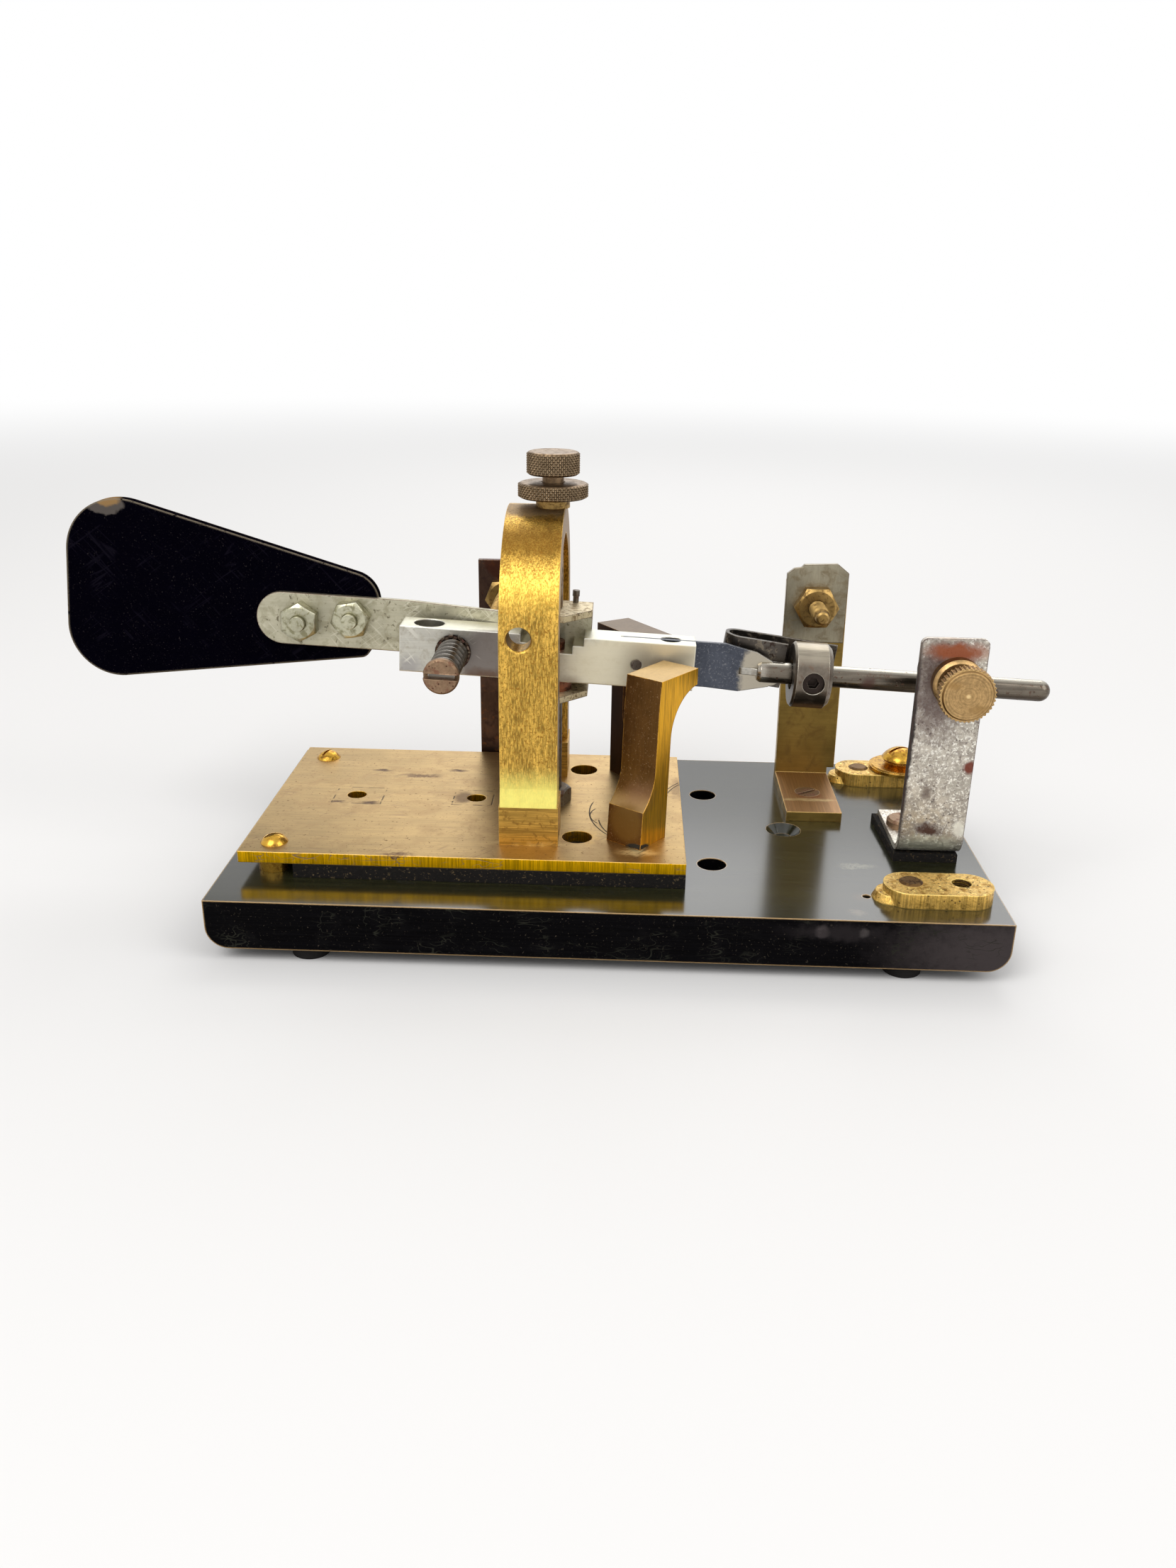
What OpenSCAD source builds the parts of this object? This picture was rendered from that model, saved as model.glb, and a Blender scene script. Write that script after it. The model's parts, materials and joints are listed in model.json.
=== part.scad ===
// Semi-automatic telegraph key, built up on the base of an old sounder.
// X runs along the base to the right, Y to the rear, Z up, in millimetres.
// Stations along X are counted from the left end of the base, Y from the
// pivot line, which is also the middle of the base.

/* [Base] */
// Length of the base
base_l = 165.1; // [164.5:0.1:172]
// Width of the base
base_w = 88.9; // [87:0.1:96]
// Thickness of the base
base_t = 10.9; // [9:0.1:14]
// Radius along the lower edge of each end
base_end_r = 4.8; // [2:0.1:6]
// Station of the two fixing holes
base_hole_x = 105.4; // [104.6:0.1:108]
// Distance between the two fixing holes
base_hole_gap = 40.1; // [36:0.1:44]
// Radius of a fixing hole
base_hole_r = 3.2; // [2.4:0.05:3.6]
// Station of the plugged hole
plug_x = 123.3; // [118:0.1:123.5]
// Radius of the plug
plug_r = 2; // [1.5:0.1:2.5]
// Radius of the countersink round the plug
plug_sink_r = 4; // [3.2:0.1:4.4]
// Depth of that countersink
plug_sink_h = 1.9; // [1:0.1:2.5]
// Diameter of a foot
foot_d = 8; // [6:0.1:10]
// Height of a foot
foot_h = 3; // [2:0.1:5]
// Distance of the feet from the ends of the base
foot_in_x = 20.5; // [12:0.1:30]
// Distance of the feet from the long sides of the base
foot_in_y = 5.6; // [5.2:0.1:9]
// Radius of the two wire holes through the base
wire_hole_r = 0.9; // [0.6:0.1:1.4]

/* [Small screws] */
// Shank radius of the small screws
screw_r = 1.45; // [1.3:0.05:1.5]
// How far a small screw goes into the base
screw_in = 6; // [4:0.1:7]
// Radius of a clearance hole for a small screw
screw_hole_r = 1.6; // [1.55:0.05:1.8]
// Head radius of a countersunk screw
sunk_r = 2.8; // [2.4:0.1:3]
// Head height of a countersunk screw
sunk_h = 1.3; // [1:0.1:1.5]
// Width of the narrow driver slots
slot_w = 0.8; // [0.6:0.1:1]

/* [Mounting plate] */
// Station of the plate's left end
plate_x = 4.3; // [3:0.1:5]
// Length of the plate
plate_l = 94.8; // [94:0.1:97]
// Width of the plate
plate_w = 63.7; // [62.5:0.1:66]
// Offset of the plate's middle from the pivot line
plate_y = -0.75; // [-1:0.05:-0.5]
// Thickness of the plate
plate_t = 2.56; // [2:0.02:3.5]
// Thickness of the packing sheet under the plate
pad_t = 3.2; // [2.4:0.1:4]
// How far the packing sheet stops short of the plate's left end
pad_in = 11.6; // [10.5:0.1:14]
// Distance of the two plate screws from the plate's left end
plate_screw_in = 6.5; // [5:0.1:6.8]
// Distance between the two plate screws
plate_screw_gap = 51.4; // [48:0.1:53]
// Offset of that pair from the pivot line
plate_screw_y = -1.5; // [-2:0.1:-1]
// Head diameter of the plate screws
plate_screw_d = 5.9; // [5:0.1:6.6]
// Head height of the plate screws
plate_screw_h = 1.9; // [1.5:0.1:2.4]
// Diameter of the spacers under the plate's left end
spacer_d = 7.2; // [6.6:0.1:8]
// Station of the two open holes in the plate
plate_hole_x = 75.65; // [75:0.05:76.5]
// Distance between the two open holes
plate_hole_gap = 40.7; // [38:0.1:43]
// Radius of an open hole
plate_hole_r = 3.3; // [2.5:0.05:3.5]
// Station of the left tapped hole on the pivot line
tap_xa = 23; // [20:0.1:28]
// Station of the right tapped hole on the pivot line
tap_xb = 51.2; // [44:0.1:54]
// Radius of a tapped hole
tap_r = 2.25; // [1.8:0.05:2.6]
// Offset of both tapped holes from the pivot line
tap_y = 0.2; // [0:0.1:0.4]

/* [Hoop and pivot] */
// Distance from the pivot left to the middle of the hoop
hoop_left = 3.4; // [3.2:0.1:3.6]
// Width of the hoop along the base
hoop_w = 12.2; // [12.1:0.1:12.9]
// Width of its foot blocks
hoop_foot_w = 12.7; // [12:0.1:13.4]
// Outer radius of the hoop's arch
hoop_r = 25; // [24.5:0.1:26]
// Thickness of the hoop
hoop_t = 6; // [5:0.1:6.4]
// Height of the hoop above the plate
hoop_h = 68.3; // [67:0.1:70]
// How far each leg splays out over its foot block
hoop_flare = 1; // [0.6:0.1:1.4]
// Height over which it splays
hoop_flare_h = 4; // [2:0.1:6]
// Height of a foot block
hoop_foot_h = 8.83; // [7:0.01:10]
// Depth of a foot block across the base
hoop_foot_d = 10; // [9:0.1:12]
// How far a foot block stands out past the hoop
hoop_foot_out = 0.5; // [0.3:0.1:0.8]
// Distance of the foot screws in from the hoop's outer face
hoop_screw_y = 4.5; // [4:0.1:5.5]
// Diameter of the spare hole in the front leg
hoop_hole_d = 5; // [4:0.1:7]
// Height of that hole above the plate
hoop_hole_z = 45.3; // [42:0.1:47]
// Offset of that hole from the middle of the hoop
hoop_hole_x = -2; // [-2.4:0.1:0]
// Station of the pivot
pivot_x = 68.8; // [68.7:0.05:69]
// Shank radius of the two pivot screws
pivot_r = 2.3; // [2:0.05:2.4]
// Radius of the pivots that the lever turns on
journal_r = 1.5; // [1.2:0.05:1.7]
// Radial running clearance of the pivots and screws
fit = 0.05; // [0.03:0.01:0.08]
// Diameter of the boss on top of the hoop
boss_d = 7.3; // [6.8:0.1:8]
// Height of the boss above the hoop
boss_h = 1.7; // [1.4:0.1:2.4]
// How far the boss is let into the hoop
boss_sink = 0.3; // [0.2:0.1:0.5]
// Diameter of the knurled lock nut
locknut_d = 15.1; // [14:0.1:16]
// Height of the knurled lock nut
locknut_h = 3.2; // [2.6:0.1:4]
// Width of the turned edge on the knurled pieces
knurl_edge = 0.65; // [0.5:0.05:0.8]
// Height of that edge
knurl_edge_h = 0.5; // [0.4:0.1:0.6]
// Bare screw between lock nut and knob
neck_h = 1.6; // [1.2:0.1:3]
// Diameter of the knob of the top pivot screw
knob_d = 11.4; // [10:0.1:12]
// Height of that knob
knob_h = 4.8; // [4:0.1:5]
// End of the upper pivot above the lever's middle
pivot_end = 1.9; // [1.8:0.05:2.1]
// Gap between the yoke and the pivot screws' shoulders
shoulder_gap = 0.2; // [0.15:0.05:0.25]
// Width across the flats of the lower lock nut
lownut_af = 8; // [7:0.1:9]
// Height of the lower lock nut
lownut_h = 3.7; // [3:0.1:4.5]
// Gap between the lower pivot's end and the bar
low_pivot_gap = 0.5; // [0.4:0.1:0.8]

/* [Stop posts] */
// Height of the posts above the plate
post_h = 36.2; // [36:0.05:36.6]
// Height of the posts' heads above the hollow
post_head_h = 3.6; // [3.2:0.1:4]
// Height where the hollow over the posts' feet ends
post_waist_z = 17.2; // [17:0.1:17.6]
// Radius of that hollow
post_waist_r = 11.4; // [11:0.1:11.6]
// How far the front post's waist stands out past its head
post_waist_in = 1.1; // [0.8:0.1:1.4]
// How far a post's screw goes into it
post_screw_l = 6; // [5:0.1:7]
// Thickness of a post
post_w = 9; // [8:0.1:10]
// Station of the front post's front corner
post_fx = 92.9; // [92.6:0.05:93]
// Offset of that corner from the pivot line
post_fy = -21.7; // [-22.2:0.05:-21.6]
// Length of the front post's head
post_head = 13.5; // [12.5:0.1:13.7]
// Heading of the front post's head in plan
post_turn = 54; // [52:0.5:56]
// Radius of the hollow under the head
post_throat_r = 10.4; // [9.5:0.1:11]
// Thickness of the shank at the foot
post_shank = 4.1; // [3.5:0.1:5]
// How far the foot stands out past the head
post_foot = 5.9; // [5:0.1:6.5]
// Height of the crisp edge on the foot
post_foot_h = 8.4; // [7:0.1:10]
// Station of the left corner of the rear post's head
post_bx = 78.2; // [77.8:0.05:78.6]
// Offset of that corner from the pivot line
post_by = 26.2; // [26.1:0.05:26.6]
// Length of the rear post's head
post_back_head = 25.6; // [24.5:0.1:25.8]
// Heading of the rear post's head in plan
post_back_turn = -55.5; // [-57:0.5:-54]
// Where the rear post's shank starts along its head
post_back_start = 6.8; // [5:0.1:8]
// Thickness of the rear post's shank
post_back_shank = 5; // [4.6:0.1:5.2]
// Radius of the hollow under the rear post's head
post_back_r = 8.6; // [8:0.1:9]
// Length of the rear post's foot
post_back_foot = 9.9; // [9.6:0.1:10.4]

/* [Contact brackets] */
// Station of the left edge of the dot bracket's foot
dot_x = 124.5; // [124.4:0.1:124.8]
// Width of the dot bracket's foot
dot_w = 13.1; // [12.8:0.1:13.6]
// Width of the dot bracket's upright
dot_up_w = 14.8; // [14:0.1:15.4]
// How far the upright leans to the left between its foot and its top
dot_lean = 0.9; // [0:0.1:1.2]
// Offset of the foot's front edge from the pivot line
dot_foot_y = 5.2; // [5:0.1:8]
// Offset of the screw in that foot
dot_screw_y = 18.1; // [14:0.1:22]
// Head radius of that screw
dot_sink_r = 3.1; // [2.8:0.1:3.4]
// Depth of its countersink
dot_sink_h = 1.5; // [1.2:0.1:1.8]
// Offset of the upright's front face from the pivot line
dot_up_y = 31.4; // [31:0.1:32]
// Thickness of the dot bracket
dot_t = 2.4; // [2:0.1:2.8]
// Top of the facing strip above the base
dot_top = 56.6; // [54:0.1:58]
// Height of the facing strip
dot_strip_h = 19.4; // [17:0.1:21]
// Thickness of the facing strip
dot_strip_t = 1.3; // [1:0.1:1.6]
// Height of the dot stud above the base
stud_z = 46.3; // [46:0.1:47]
// Radius of the studs
stud_r = 2.05; // [1.8:0.05:2.3]
// Offset of the dot stud's tip from the pivot line
dot_tip_y = 17.4; // [17.2:0.1:20]
// Width across the flats of the dot stud's nut
stud_nut_af = 9.4; // [8.8:0.1:10.2]
// Height of the studs' nuts
stud_nut_h = 3; // [2.4:0.1:3.4]
// Length of a stud behind its bracket
stud_out = 2.4; // [2:0.1:3]
// Width of the turned edge on a stud's tip
stud_edge = 0.5; // [0.3:0.1:0.7]
// Distance from the pivot left to the middle of the dash bracket
dash_left = 13.7; // [12.6:0.1:14.8]
// Width of the dash bracket
dash_w = 13.1; // [12:0.1:14]
// Outer radius of the dash bracket's bend
dash_bend = 4; // [3:0.1:5]
// Distance of its foot screw in from the foot's end
dash_screw_in = 3.2; // [3:0.1:4]
// Width across the flats of the dash stud's nut
dash_nut_af = 8.4; // [8:0.1:9]
// Gap between the plate's rear edge and the dash bracket
dash_back = 2.1; // [1.75:0.05:2.95]
// Gap between the dash stud's tip and the strip at rest
dash_gap = 0.8; // [0.7:0.05:1]
// Thickness of the dash bracket
dash_t = 1.6; // [1.2:0.1:2]
// Top of the dash bracket above the base
dash_top = 55.1; // [52:0.1:57]
// Rearward length of the dash bracket's foot
dash_foot = 9; // [8.2:0.1:9.2]

/* [Damper] */
// Station of the left edge of the damper bracket
damper_x = 146.2; // [146:0.1:146.6]
// Width of the damper bracket
damper_w = 14; // [13.4:0.1:14.4]
// Offset of the bracket's front face from the pivot line
damper_y = -17.3; // [-17.6:0.1:-17]
// Thickness of the bracket
damper_t = 1.3; // [1:0.1:1.6]
// Top of the bracket above the base
damper_top = 51.5; // [50.5:0.1:54]
// Outer radius of the bend
damper_bend = 4.5; // [3:0.1:6]
// Length of the bracket's foot
damper_foot = 23.4; // [22:0.1:25]
// Station of the screw in that foot
damper_hole_x = 150; // [149.6:0.1:156]
// Distance of that screw behind the bracket's front face
damper_hole_y = 14.5; // [12:0.1:18]
// Thickness of the pad under the foot
damper_pad_t = 2; // [1:0.1:2.5]
// Radius of the rounded upper corners
damper_corner_r = 1.4; // [1:0.1:2]
// Head diameter of the screw in the foot
damper_screw_d = 7; // [6:0.1:8]
// Head height of that screw
damper_screw_h = 1.8; // [1.4:0.1:2.2]
// Station of the thumb screw
thumb_x = 154.2; // [153.6:0.1:154.4]
// Height of the thumb screw above the base
thumb_z = 42.4; // [42:0.1:43]
// Diameter of the thumb screw's head
thumb_d = 11.6; // [10:0.1:12.4]
// Thickness of the head
thumb_h = 3.4; // [3:0.1:4]
// Distance of the head's face in front of the bracket
thumb_out = 10.3; // [8:0.1:12]
// Height of the damper's lock nut
thumb_nut_h = 2.8; // [2.4:0.1:3.2]
// Depth of the grooves round the head
thumb_groove = 0.35; // [0.25:0.05:0.45]
// Number of grooves round the head
thumb_teeth = 40; // [24:1:48]
// Radius of the thumb screw's shank
thumb_r = 2; // [1.7:0.05:2.2]
// Diameter of the damping disc
disc_d = 12; // [11:0.1:12.4]
// Thickness of the damping disc
disc_h = 3; // [2:0.1:3.4]
// How far the shank goes into the disc
disc_in = 1.5; // [1.2:0.1:1.9]
// Gap between the damping disc and the rod at rest
disc_gap = 5; // [4.9:0.1:6]

/* [Terminals] */
// Station of the middle of the terminals
term_x = 151.6; // [151:0.1:152]
// Distance from the base's long edges in to the middle of a terminal
term_in = 10.95; // [10:0.05:11.4]
// Length of a terminal
term_l = 22.8; // [22:0.1:23.6]
// Width of a terminal
term_w = 10.5; // [9.8:0.1:11]
// Thickness of a terminal
term_t = 3.4; // [3:0.1:4]
// Radius of the tapped wire hole
term_r = 2.05; // [1.7:0.05:2.3]
// How far the wire hole lies right of the middle
term_hole = 4.9; // [4.4:0.1:5.6]
// How far the rivet lies left of the middle
term_rivet = 5.6; // [5:0.1:6.2]
// How far the holes of the front terminal lie behind its middle
term_off = 0.7; // [0:0.1:1]
// Width of the lug at a terminal's left end
term_lug_w = 8; // [6:0.1:9]
// How far that lug stands out
term_lug_out = 2.2; // [1.5:0.1:3]
// Height of that lug
term_lug_h = 1.7; // [1.4:0.1:2.2]
// Radius of a rivet's head
rivet_r = 2.5; // [2.2:0.1:2.8]
// Height of a rivet's head
rivet_h = 0.4; // [0.3:0.1:0.6]
// Head diameter of the terminal screw
term_screw_d = 9.4; // [8.4:0.1:10]
// Height of the dome of the terminal screw
term_dome_h = 2.8; // [2:0.1:3.4]
// Height of the grooved collar under that dome
term_collar_h = 1.7; // [1.5:0.1:2]
// Diameter of the terminal washer
term_washer_d = 15.4; // [12:0.1:15.6]
// Thickness of the terminal washer
term_gap = 1.3; // [1:0.1:1.6]

/* [Lever] */
// Height of the lever's middle above the plate
arm_h = 35.5; // [35.4:0.05:35.9]
// How many degrees the lever hangs down to the right
arm_tilt = 2.6; // [2.4:0.1:2.7]
// Left end of the bar, from the pivot
bar_left = 33.6; // [33:0.1:34.5]
// Right end of the bar, from the pivot
bar_right = 31.6; // [31:0.1:32]
// Thickness of the bar
bar_w = 8; // [7.6:0.1:8.1]
// Height of the bar
bar_h = 10.3; // [9.8:0.1:10.6]
// Half length of the upper step of the notch over the pivot
notch_l = 7; // [6:0.1:8]
// Depth of that step
notch_d = 1.9; // [1.4:0.1:2.2]
// Half length of the lower step of the notch
notch_low_l = 4.6; // [3.4:0.1:5]
// Depth of the notch down to its floor
notch_low_d = 3.8; // [3.6:0.1:4]
// Distance of the larger hole in the bar, left of the pivot
bar_hole_x = 27.6; // [27:0.1:28.4]
// Radius of that hole
bar_hole_r = 3.4; // [2.8:0.05:3.5]
// Distance of the smaller hole in the bar, right of the pivot
bar_bore_x = 26.1; // [25:0.1:27]
// Radius of that hole
bar_bore_r = 2.35; // [1.8:0.05:2.6]
// Thickness of the lever strip
strip_t = 1.2; // [1:0.05:1.4]
// Height of the lever strip
strip_h = 12.1; // [11.6:0.1:13]
// Height of the strip's middle above the bar's middle
strip_up = 1.8; // [1.6:0.1:2.4]
// Left end of the strip, from the pivot
strip_left = 68.6; // [67:0.1:70]
// Offset of the strip's left part from the pivot line
strip_y = 8; // [7.6:0.1:8.4]
// Distance left of the pivot where the strip leaves its straight part
strip_bend_a = 34.3; // [33:0.1:36]
// Distance left of the pivot where it comes to the bar
strip_bend_b = 12.5; // [10:0.1:14]
// Thickness of the paddle
paddle_t = 2.5; // [2:0.1:5]
// Station of the paddle's left edge
paddle_x = -44.4; // [-50:0.1:-42]
// Length of the paddle
paddle_l = 73.7; // [72:0.1:76]
// Full height of the paddle at its left end
paddle_h = 41.2; // [38:0.1:46]
// Radius of the paddle's upper left corner
paddle_r = 13; // [10:0.1:15]
// Radius of its lower left corner
paddle_low_r = 11.3; // [8:0.1:13]
// How far the upper left corner is set back from the lower one
paddle_slant = 1.9; // [1.5:0.1:2.3]
// Radius of its upper right corner
paddle_end_r = 6.7; // [5:0.1:8]
// Height of the paddle's upper right corner above its lower edge
paddle_end_up = 19.1; // [18:0.1:20]
// Height of its lower right corner above its lower edge
paddle_tip_up = 8.3; // [7.5:0.1:9]
// Radius of its lower right corner
paddle_tip_r = 2.5; // [2:0.1:3]
// Distance of that corner's centre in from the right end
paddle_tip_in = 5.7; // [5.2:0.1:6.2]
// How far the upper right corner is set back from the right end
paddle_end_in = 0.7; // [0.5:0.1:1]
// Height of the paddle's lower edge above the base
paddle_low = 30.8; // [30:0.1:31.4]
// Nut size of the two paddle screws
paddle_nut_af = 7.94; // [7:0.02:8.4]
// Distance of the outer paddle screw left of the pivot
bolt_xa = 58.4; // [57:0.1:60]
// Distance of the inner paddle screw left of the pivot
bolt_xb = 46.6; // [46:0.1:47.4]
// Height of the outer paddle screw above the bar's middle
bolt_za = 1.6; // [1.4:0.05:1.8]
// Height of the inner paddle screw above the bar's middle
bolt_zb = 2.95; // [2.8:0.05:3.1]
// Shank radius of the paddle screws
bolt_r = 1.72; // [1.6:0.02:1.8]
// Height of the nuts on the paddle screws
paddle_nut_h = 3.1; // [2.7:0.1:3.4]
// How far a paddle screw stands out of the strip
bolt_out = 4.2; // [3.8:0.1:4.6]
// Head diameter of the paddle screws
bolt_head_d = 6.6; // [6:0.1:7.2]
// Head height of the paddle screws
bolt_head_h = 2.2; // [1.8:0.1:2.6]
// Left end of the yoke, from the pivot
yoke_left = 8; // [7:0.1:9]
// Right end of the yoke, from the pivot
yoke_right = 8.4; // [8:0.1:9]
// Thickness of the yoke
yoke_t = 1.5; // [1.2:0.1:1.7]
// How far the yoke's flanges reach forward
yoke_front = 7.9; // [7:0.1:8.4]
// Top of the upper flange above the bar's middle
yoke_up = 10.7; // [10.4:0.05:11]
// Bottom of the lower flange below the bar's middle
yoke_down = 9.05; // [8.8:0.05:9.4]
// Distance of the two yoke screws from the pivot
yoke_screw_x = 4.6; // [4.3:0.1:4.9]
// Depth of those screws below the bar's middle
yoke_screw_down = 2.2; // [1.8:0.1:2.6]
// Shank radius of those screws
yoke_screw_r = 0.8; // [0.7:0.05:0.85]
// Radius of the red bush under the bar
bush_r = 4.7; // [4:0.1:5]
// Radius of the bearing cup in the bar's notch
cup_r = 2.7; // [2.4:0.1:3]
// Height of that cup
cup_h = 1.9; // [1.7:0.1:2]
// Place of the adjusting screw, from the pivot
adjust_x = 21.7; // [21.5:0.05:22.2]
// Radius of the adjusting screw
adjust_r = 3.4; // [3:0.05:3.5]
// How far the adjusting screw stands out of the bar
adjust_out = 19.2; // [15:0.1:21]
// How far the head of the adjusting screw stands out round it
adjust_rim = 0.4; // [0.3:0.1:0.6]
// Thickness of that head
adjust_head_h = 1.6; // [1.3:0.1:2]
// Width of the slot in that head
adjust_slot = 1.2; // [1:0.1:1.4]
// Radius of the screw's nose
adjust_nose_r = 1.4; // [1.2:0.1:1.6]
// Gap between the nose and the strip
adjust_gap = 0.45; // [0.4:0.05:0.6]
// Outer radius of the star washer
star_r = 4.95; // [4.6:0.05:5.1]
// Thickness of the star washer
star_t = 1; // [0.8:0.1:1.2]
// Depth of the notches between its teeth
star_notch = 0.9; // [0.7:0.1:1]
// Number of teeth on the star washer
star_teeth = 12; // [8:1:16]
// Distance of the vibrator spring's pin right of the pivot
pin_x = 18.8; // [18:0.1:20]
// Radius of that pin
pin_r = 1.15; // [0.9:0.05:1.4]

/* [Vibrating arm] */
// Thickness of the vibrator spring
vib_t = 0.8; // [0.6:0.05:0.9]
// Left end of the spring inside the bar, from the pivot
vib_x0 = 15.5; // [15:0.1:16.5]
// Tip of the spring, from the pivot
vib_x1 = 51.2; // [50.6:0.1:51.6]
// Where the spring starts to taper, from the pivot
vib_taper = 38.5; // [37:0.1:40]
// Radius of the pendulum rod
rod_r = 2.38; // [2.2:0.02:2.5]
// Left end of the rod, from the pivot
rod_x0 = 45.8; // [45.4:0.1:46.2]
// Tip of the rod, from the pivot
rod_x1 = 111.15; // [108:0.05:114]
// Height of the rod's middle above the bar's middle
rod_z = -0.78; // [-1:0.02:-0.6]
// Length of the thin solder in front of the rod
solder_l = 4; // [3.6:0.1:4.6]
// Height of the solder
solder_h = 1.6; // [1.4:0.1:1.8]
// Thickness of the dot spring
dot_spring_t = 0.8; // [0.6:0.05:0.9]
// Height of the dot spring
dot_spring_h = 10.2; // [9:0.1:11]
// Closed end of the dot spring, from the pivot
dot_spring_x = 38.1; // [37.6:0.1:38.6]
// Width over the two arms of the dot spring
dot_spring_w = 7.2; // [7.1:0.1:7.5]
// Tip of the dot spring's rear arm, from the closed end
dot_spring_l = 26.2; // [25:0.1:27]
// How many degrees the dot spring drops against the rod
dot_spring_drop = 5.5; // [4.5:0.1:6]
// Radius of the contact on the dot spring
contact_r = 1.8; // [1.6:0.1:2]
// Thickness of that contact
contact_t = 0.9; // [0.8:0.1:1.1]
// Outer radius of the weight
weight_r = 7.3; // [6.8:0.05:7.4]
// Width of the weight
weight_w = 8.4; // [7.4:0.1:8.8]
// Left face of the weight, from the pivot
weight_x = 53.4; // [53.3:0.1:55]
// Radial clearance of the weight on the rod
weight_fit = 0.08; // [0.05:0.01:0.1]
// Radius of the flared mouth of the weight's bore
weight_mouth_r = 3.6; // [3:0.1:4]
// Depth of that mouth
weight_mouth_h = 1.4; // [1.2:0.1:1.6]
// How deep the set screw is sunk
set_sink = 0.9; // [0.6:0.1:1.2]
// Half width across the corners of its socket
set_hex_r = 1.35; // [1.2:0.05:1.5]
// Depth of its socket
set_hex_h = 2.8; // [2.4:0.1:3]
// Radius of the set screw in the weight
set_r = 2.4; // [2:0.05:2.6]

/* [Hidden] */
$fn = 48;
eps = 0.01;
z_base = foot_h + base_t;
// places of the paddle screws from the pivot, and the turn of their nuts
paddle_bolts = [[-bolt_xa, bolt_za, 30], [-bolt_xb, bolt_zb, 12]];
yoke_bolts = [[-yoke_screw_x, -yoke_screw_down], [yoke_screw_x, -yoke_screw_down]];
// corner circles of the paddle's outline, clockwise from the upper left
paddle_corners = [[paddle_r + paddle_slant, paddle_h - paddle_r, paddle_r],
    [paddle_l - paddle_end_r - paddle_end_in, paddle_end_up, paddle_end_r],
    [paddle_l - paddle_tip_in, paddle_tip_up, paddle_tip_r],
    [paddle_low_r, paddle_low_r, paddle_low_r]];
z_plate = z_base + pad_t + plate_t;
z_arch = z_plate + hoop_h - hoop_r;
z_block = z_plate + hoop_foot_h;
z_hoop = z_plate + hoop_h;
z_boss = z_hoop + boss_h;
z_arm = z_plate + arm_h;
z_top_shoulder = z_arm + yoke_up + shoulder_gap;
z_low_shoulder = z_arm - yoke_down - shoulder_gap;
z_knob = z_boss + locknut_h + neck_h;
// the angle brackets' bends end this high above their feet
dot_heel = 4;
dot_plate_top = dot_top - dot_heel - 4.6;
thumb_front = damper_y - thumb_out;
// the turned rims of the thumb screw's head lie just inside its grooves
thumb_rim_d = thumb_d - 2 * thumb_groove - 0.4;
disc_front = -rod_r - disc_gap - disc_h;
// a cut runs this far past the face that it starts from
over = 1;
screw_room = 0.5;
bar_y = bar_w / 2;
yoke_web = bar_y + strip_t;
plate_front = plate_y - plate_w / 2;
hoop_x = pivot_x - hoop_left;
dash_x = pivot_x - dash_left;
dash_y = plate_y + plate_w / 2 + dash_back;
term_y = base_w / 2 - term_in;
// the whole key is centred on the middle of its own length
x_min = paddle_x;
x_max = max(base_l, pivot_x + (rod_x1 - rod_r) * cos(arm_tilt) + rod_z * sin(arm_tilt) + rod_r);
dx = -(x_min + x_max) / 2;

black = [0.06, 0.055, 0.055];
brass = [0.72, 0.56, 0.24];
dark_brass = [0.42, 0.3, 0.16];
steel = [0.52, 0.51, 0.5];
blued = [0.2, 0.22, 0.27];
alu = [0.72, 0.72, 0.71];
galvanised = [0.5, 0.52, 0.47];
copper = [0.55, 0.27, 0.18];

// places its children at a station, an offset and a height
module at(x, y, z) translate([x + dx, y, z]) children();

// the lever's own frame: pivot at the origin, bar along X, hanging by arm_tilt
module arm() translate([pivot_x + dx, 0, z_arm]) rotate([0, arm_tilt, 0]) children();

// a bar section in X and Z, pushed d to the rear from offset y
module upright(y, d) translate([0, y + d, 0]) rotate([90, 0, 0]) linear_extrude(d) children();

// a cylinder along +Y from offset y
module along_y(r, y, d, r2 = -1)
    translate([0, y, 0]) rotate([-90, 0, 0]) cylinder(r1 = r, r2 = r2 < 0 ? r : r2, h = d);

// a round hole along Y through something that runs from offset y to y + d
module through_y(r, y, d) along_y(r, y - over, d + 2 * over);

// a driver slot across a screw's end, cut towards +Y from offset y
module cross_slot(y, w, l = 10) translate([-l / 2, y, -w / 2]) cube([l, 3, w]);

// domed head on Z = 0 with a slot turned by a
module round_head(d, h, a = 0, slot = 0.7) {
    ball = (d * d / 4 + h * h) / (2 * h);
    difference() {
        intersection() {
            translate([0, 0, h - ball]) sphere(ball, $fn = 64);
            cylinder(d = d, h = h);
        }
        rotate(a) translate([-d, -slot / 2, h * 0.5]) cube([2 * d, slot, h]);
    }
}

// shank of a small screw down from Z = 0 through t of other pieces into the base
module shank(t) translate([0, 0, -t - screw_in]) cylinder(r = screw_r, h = t + screw_in + 0.1);

// hexagon nut with its upper corners turned off
module hex_nut(af, h, bore, turn = 0) difference() {
    intersection() {
        rotate(turn) cylinder(d = af / cos(30), h = h, $fn = 6);
        union() {
            cylinder(d = af / cos(30) + 0.2, h = h - 0.09 * af);
            translate([0, 0, h - 0.09 * af])
                cylinder(d1 = af / cos(30) + 0.2, d2 = af * 0.9, h = 0.09 * af);
        }
    }
    through(bore, h);
}

// rim with n straight grooves, depth g, round Z
module grooved(r, h, n, g)
    linear_extrude(h) polygon([for (i = [0 : 2 * n - 1])
        let (q = r - (i % 2) * g, a = i * 180 / n) [q * cos(a), q * sin(a)]]);

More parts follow.
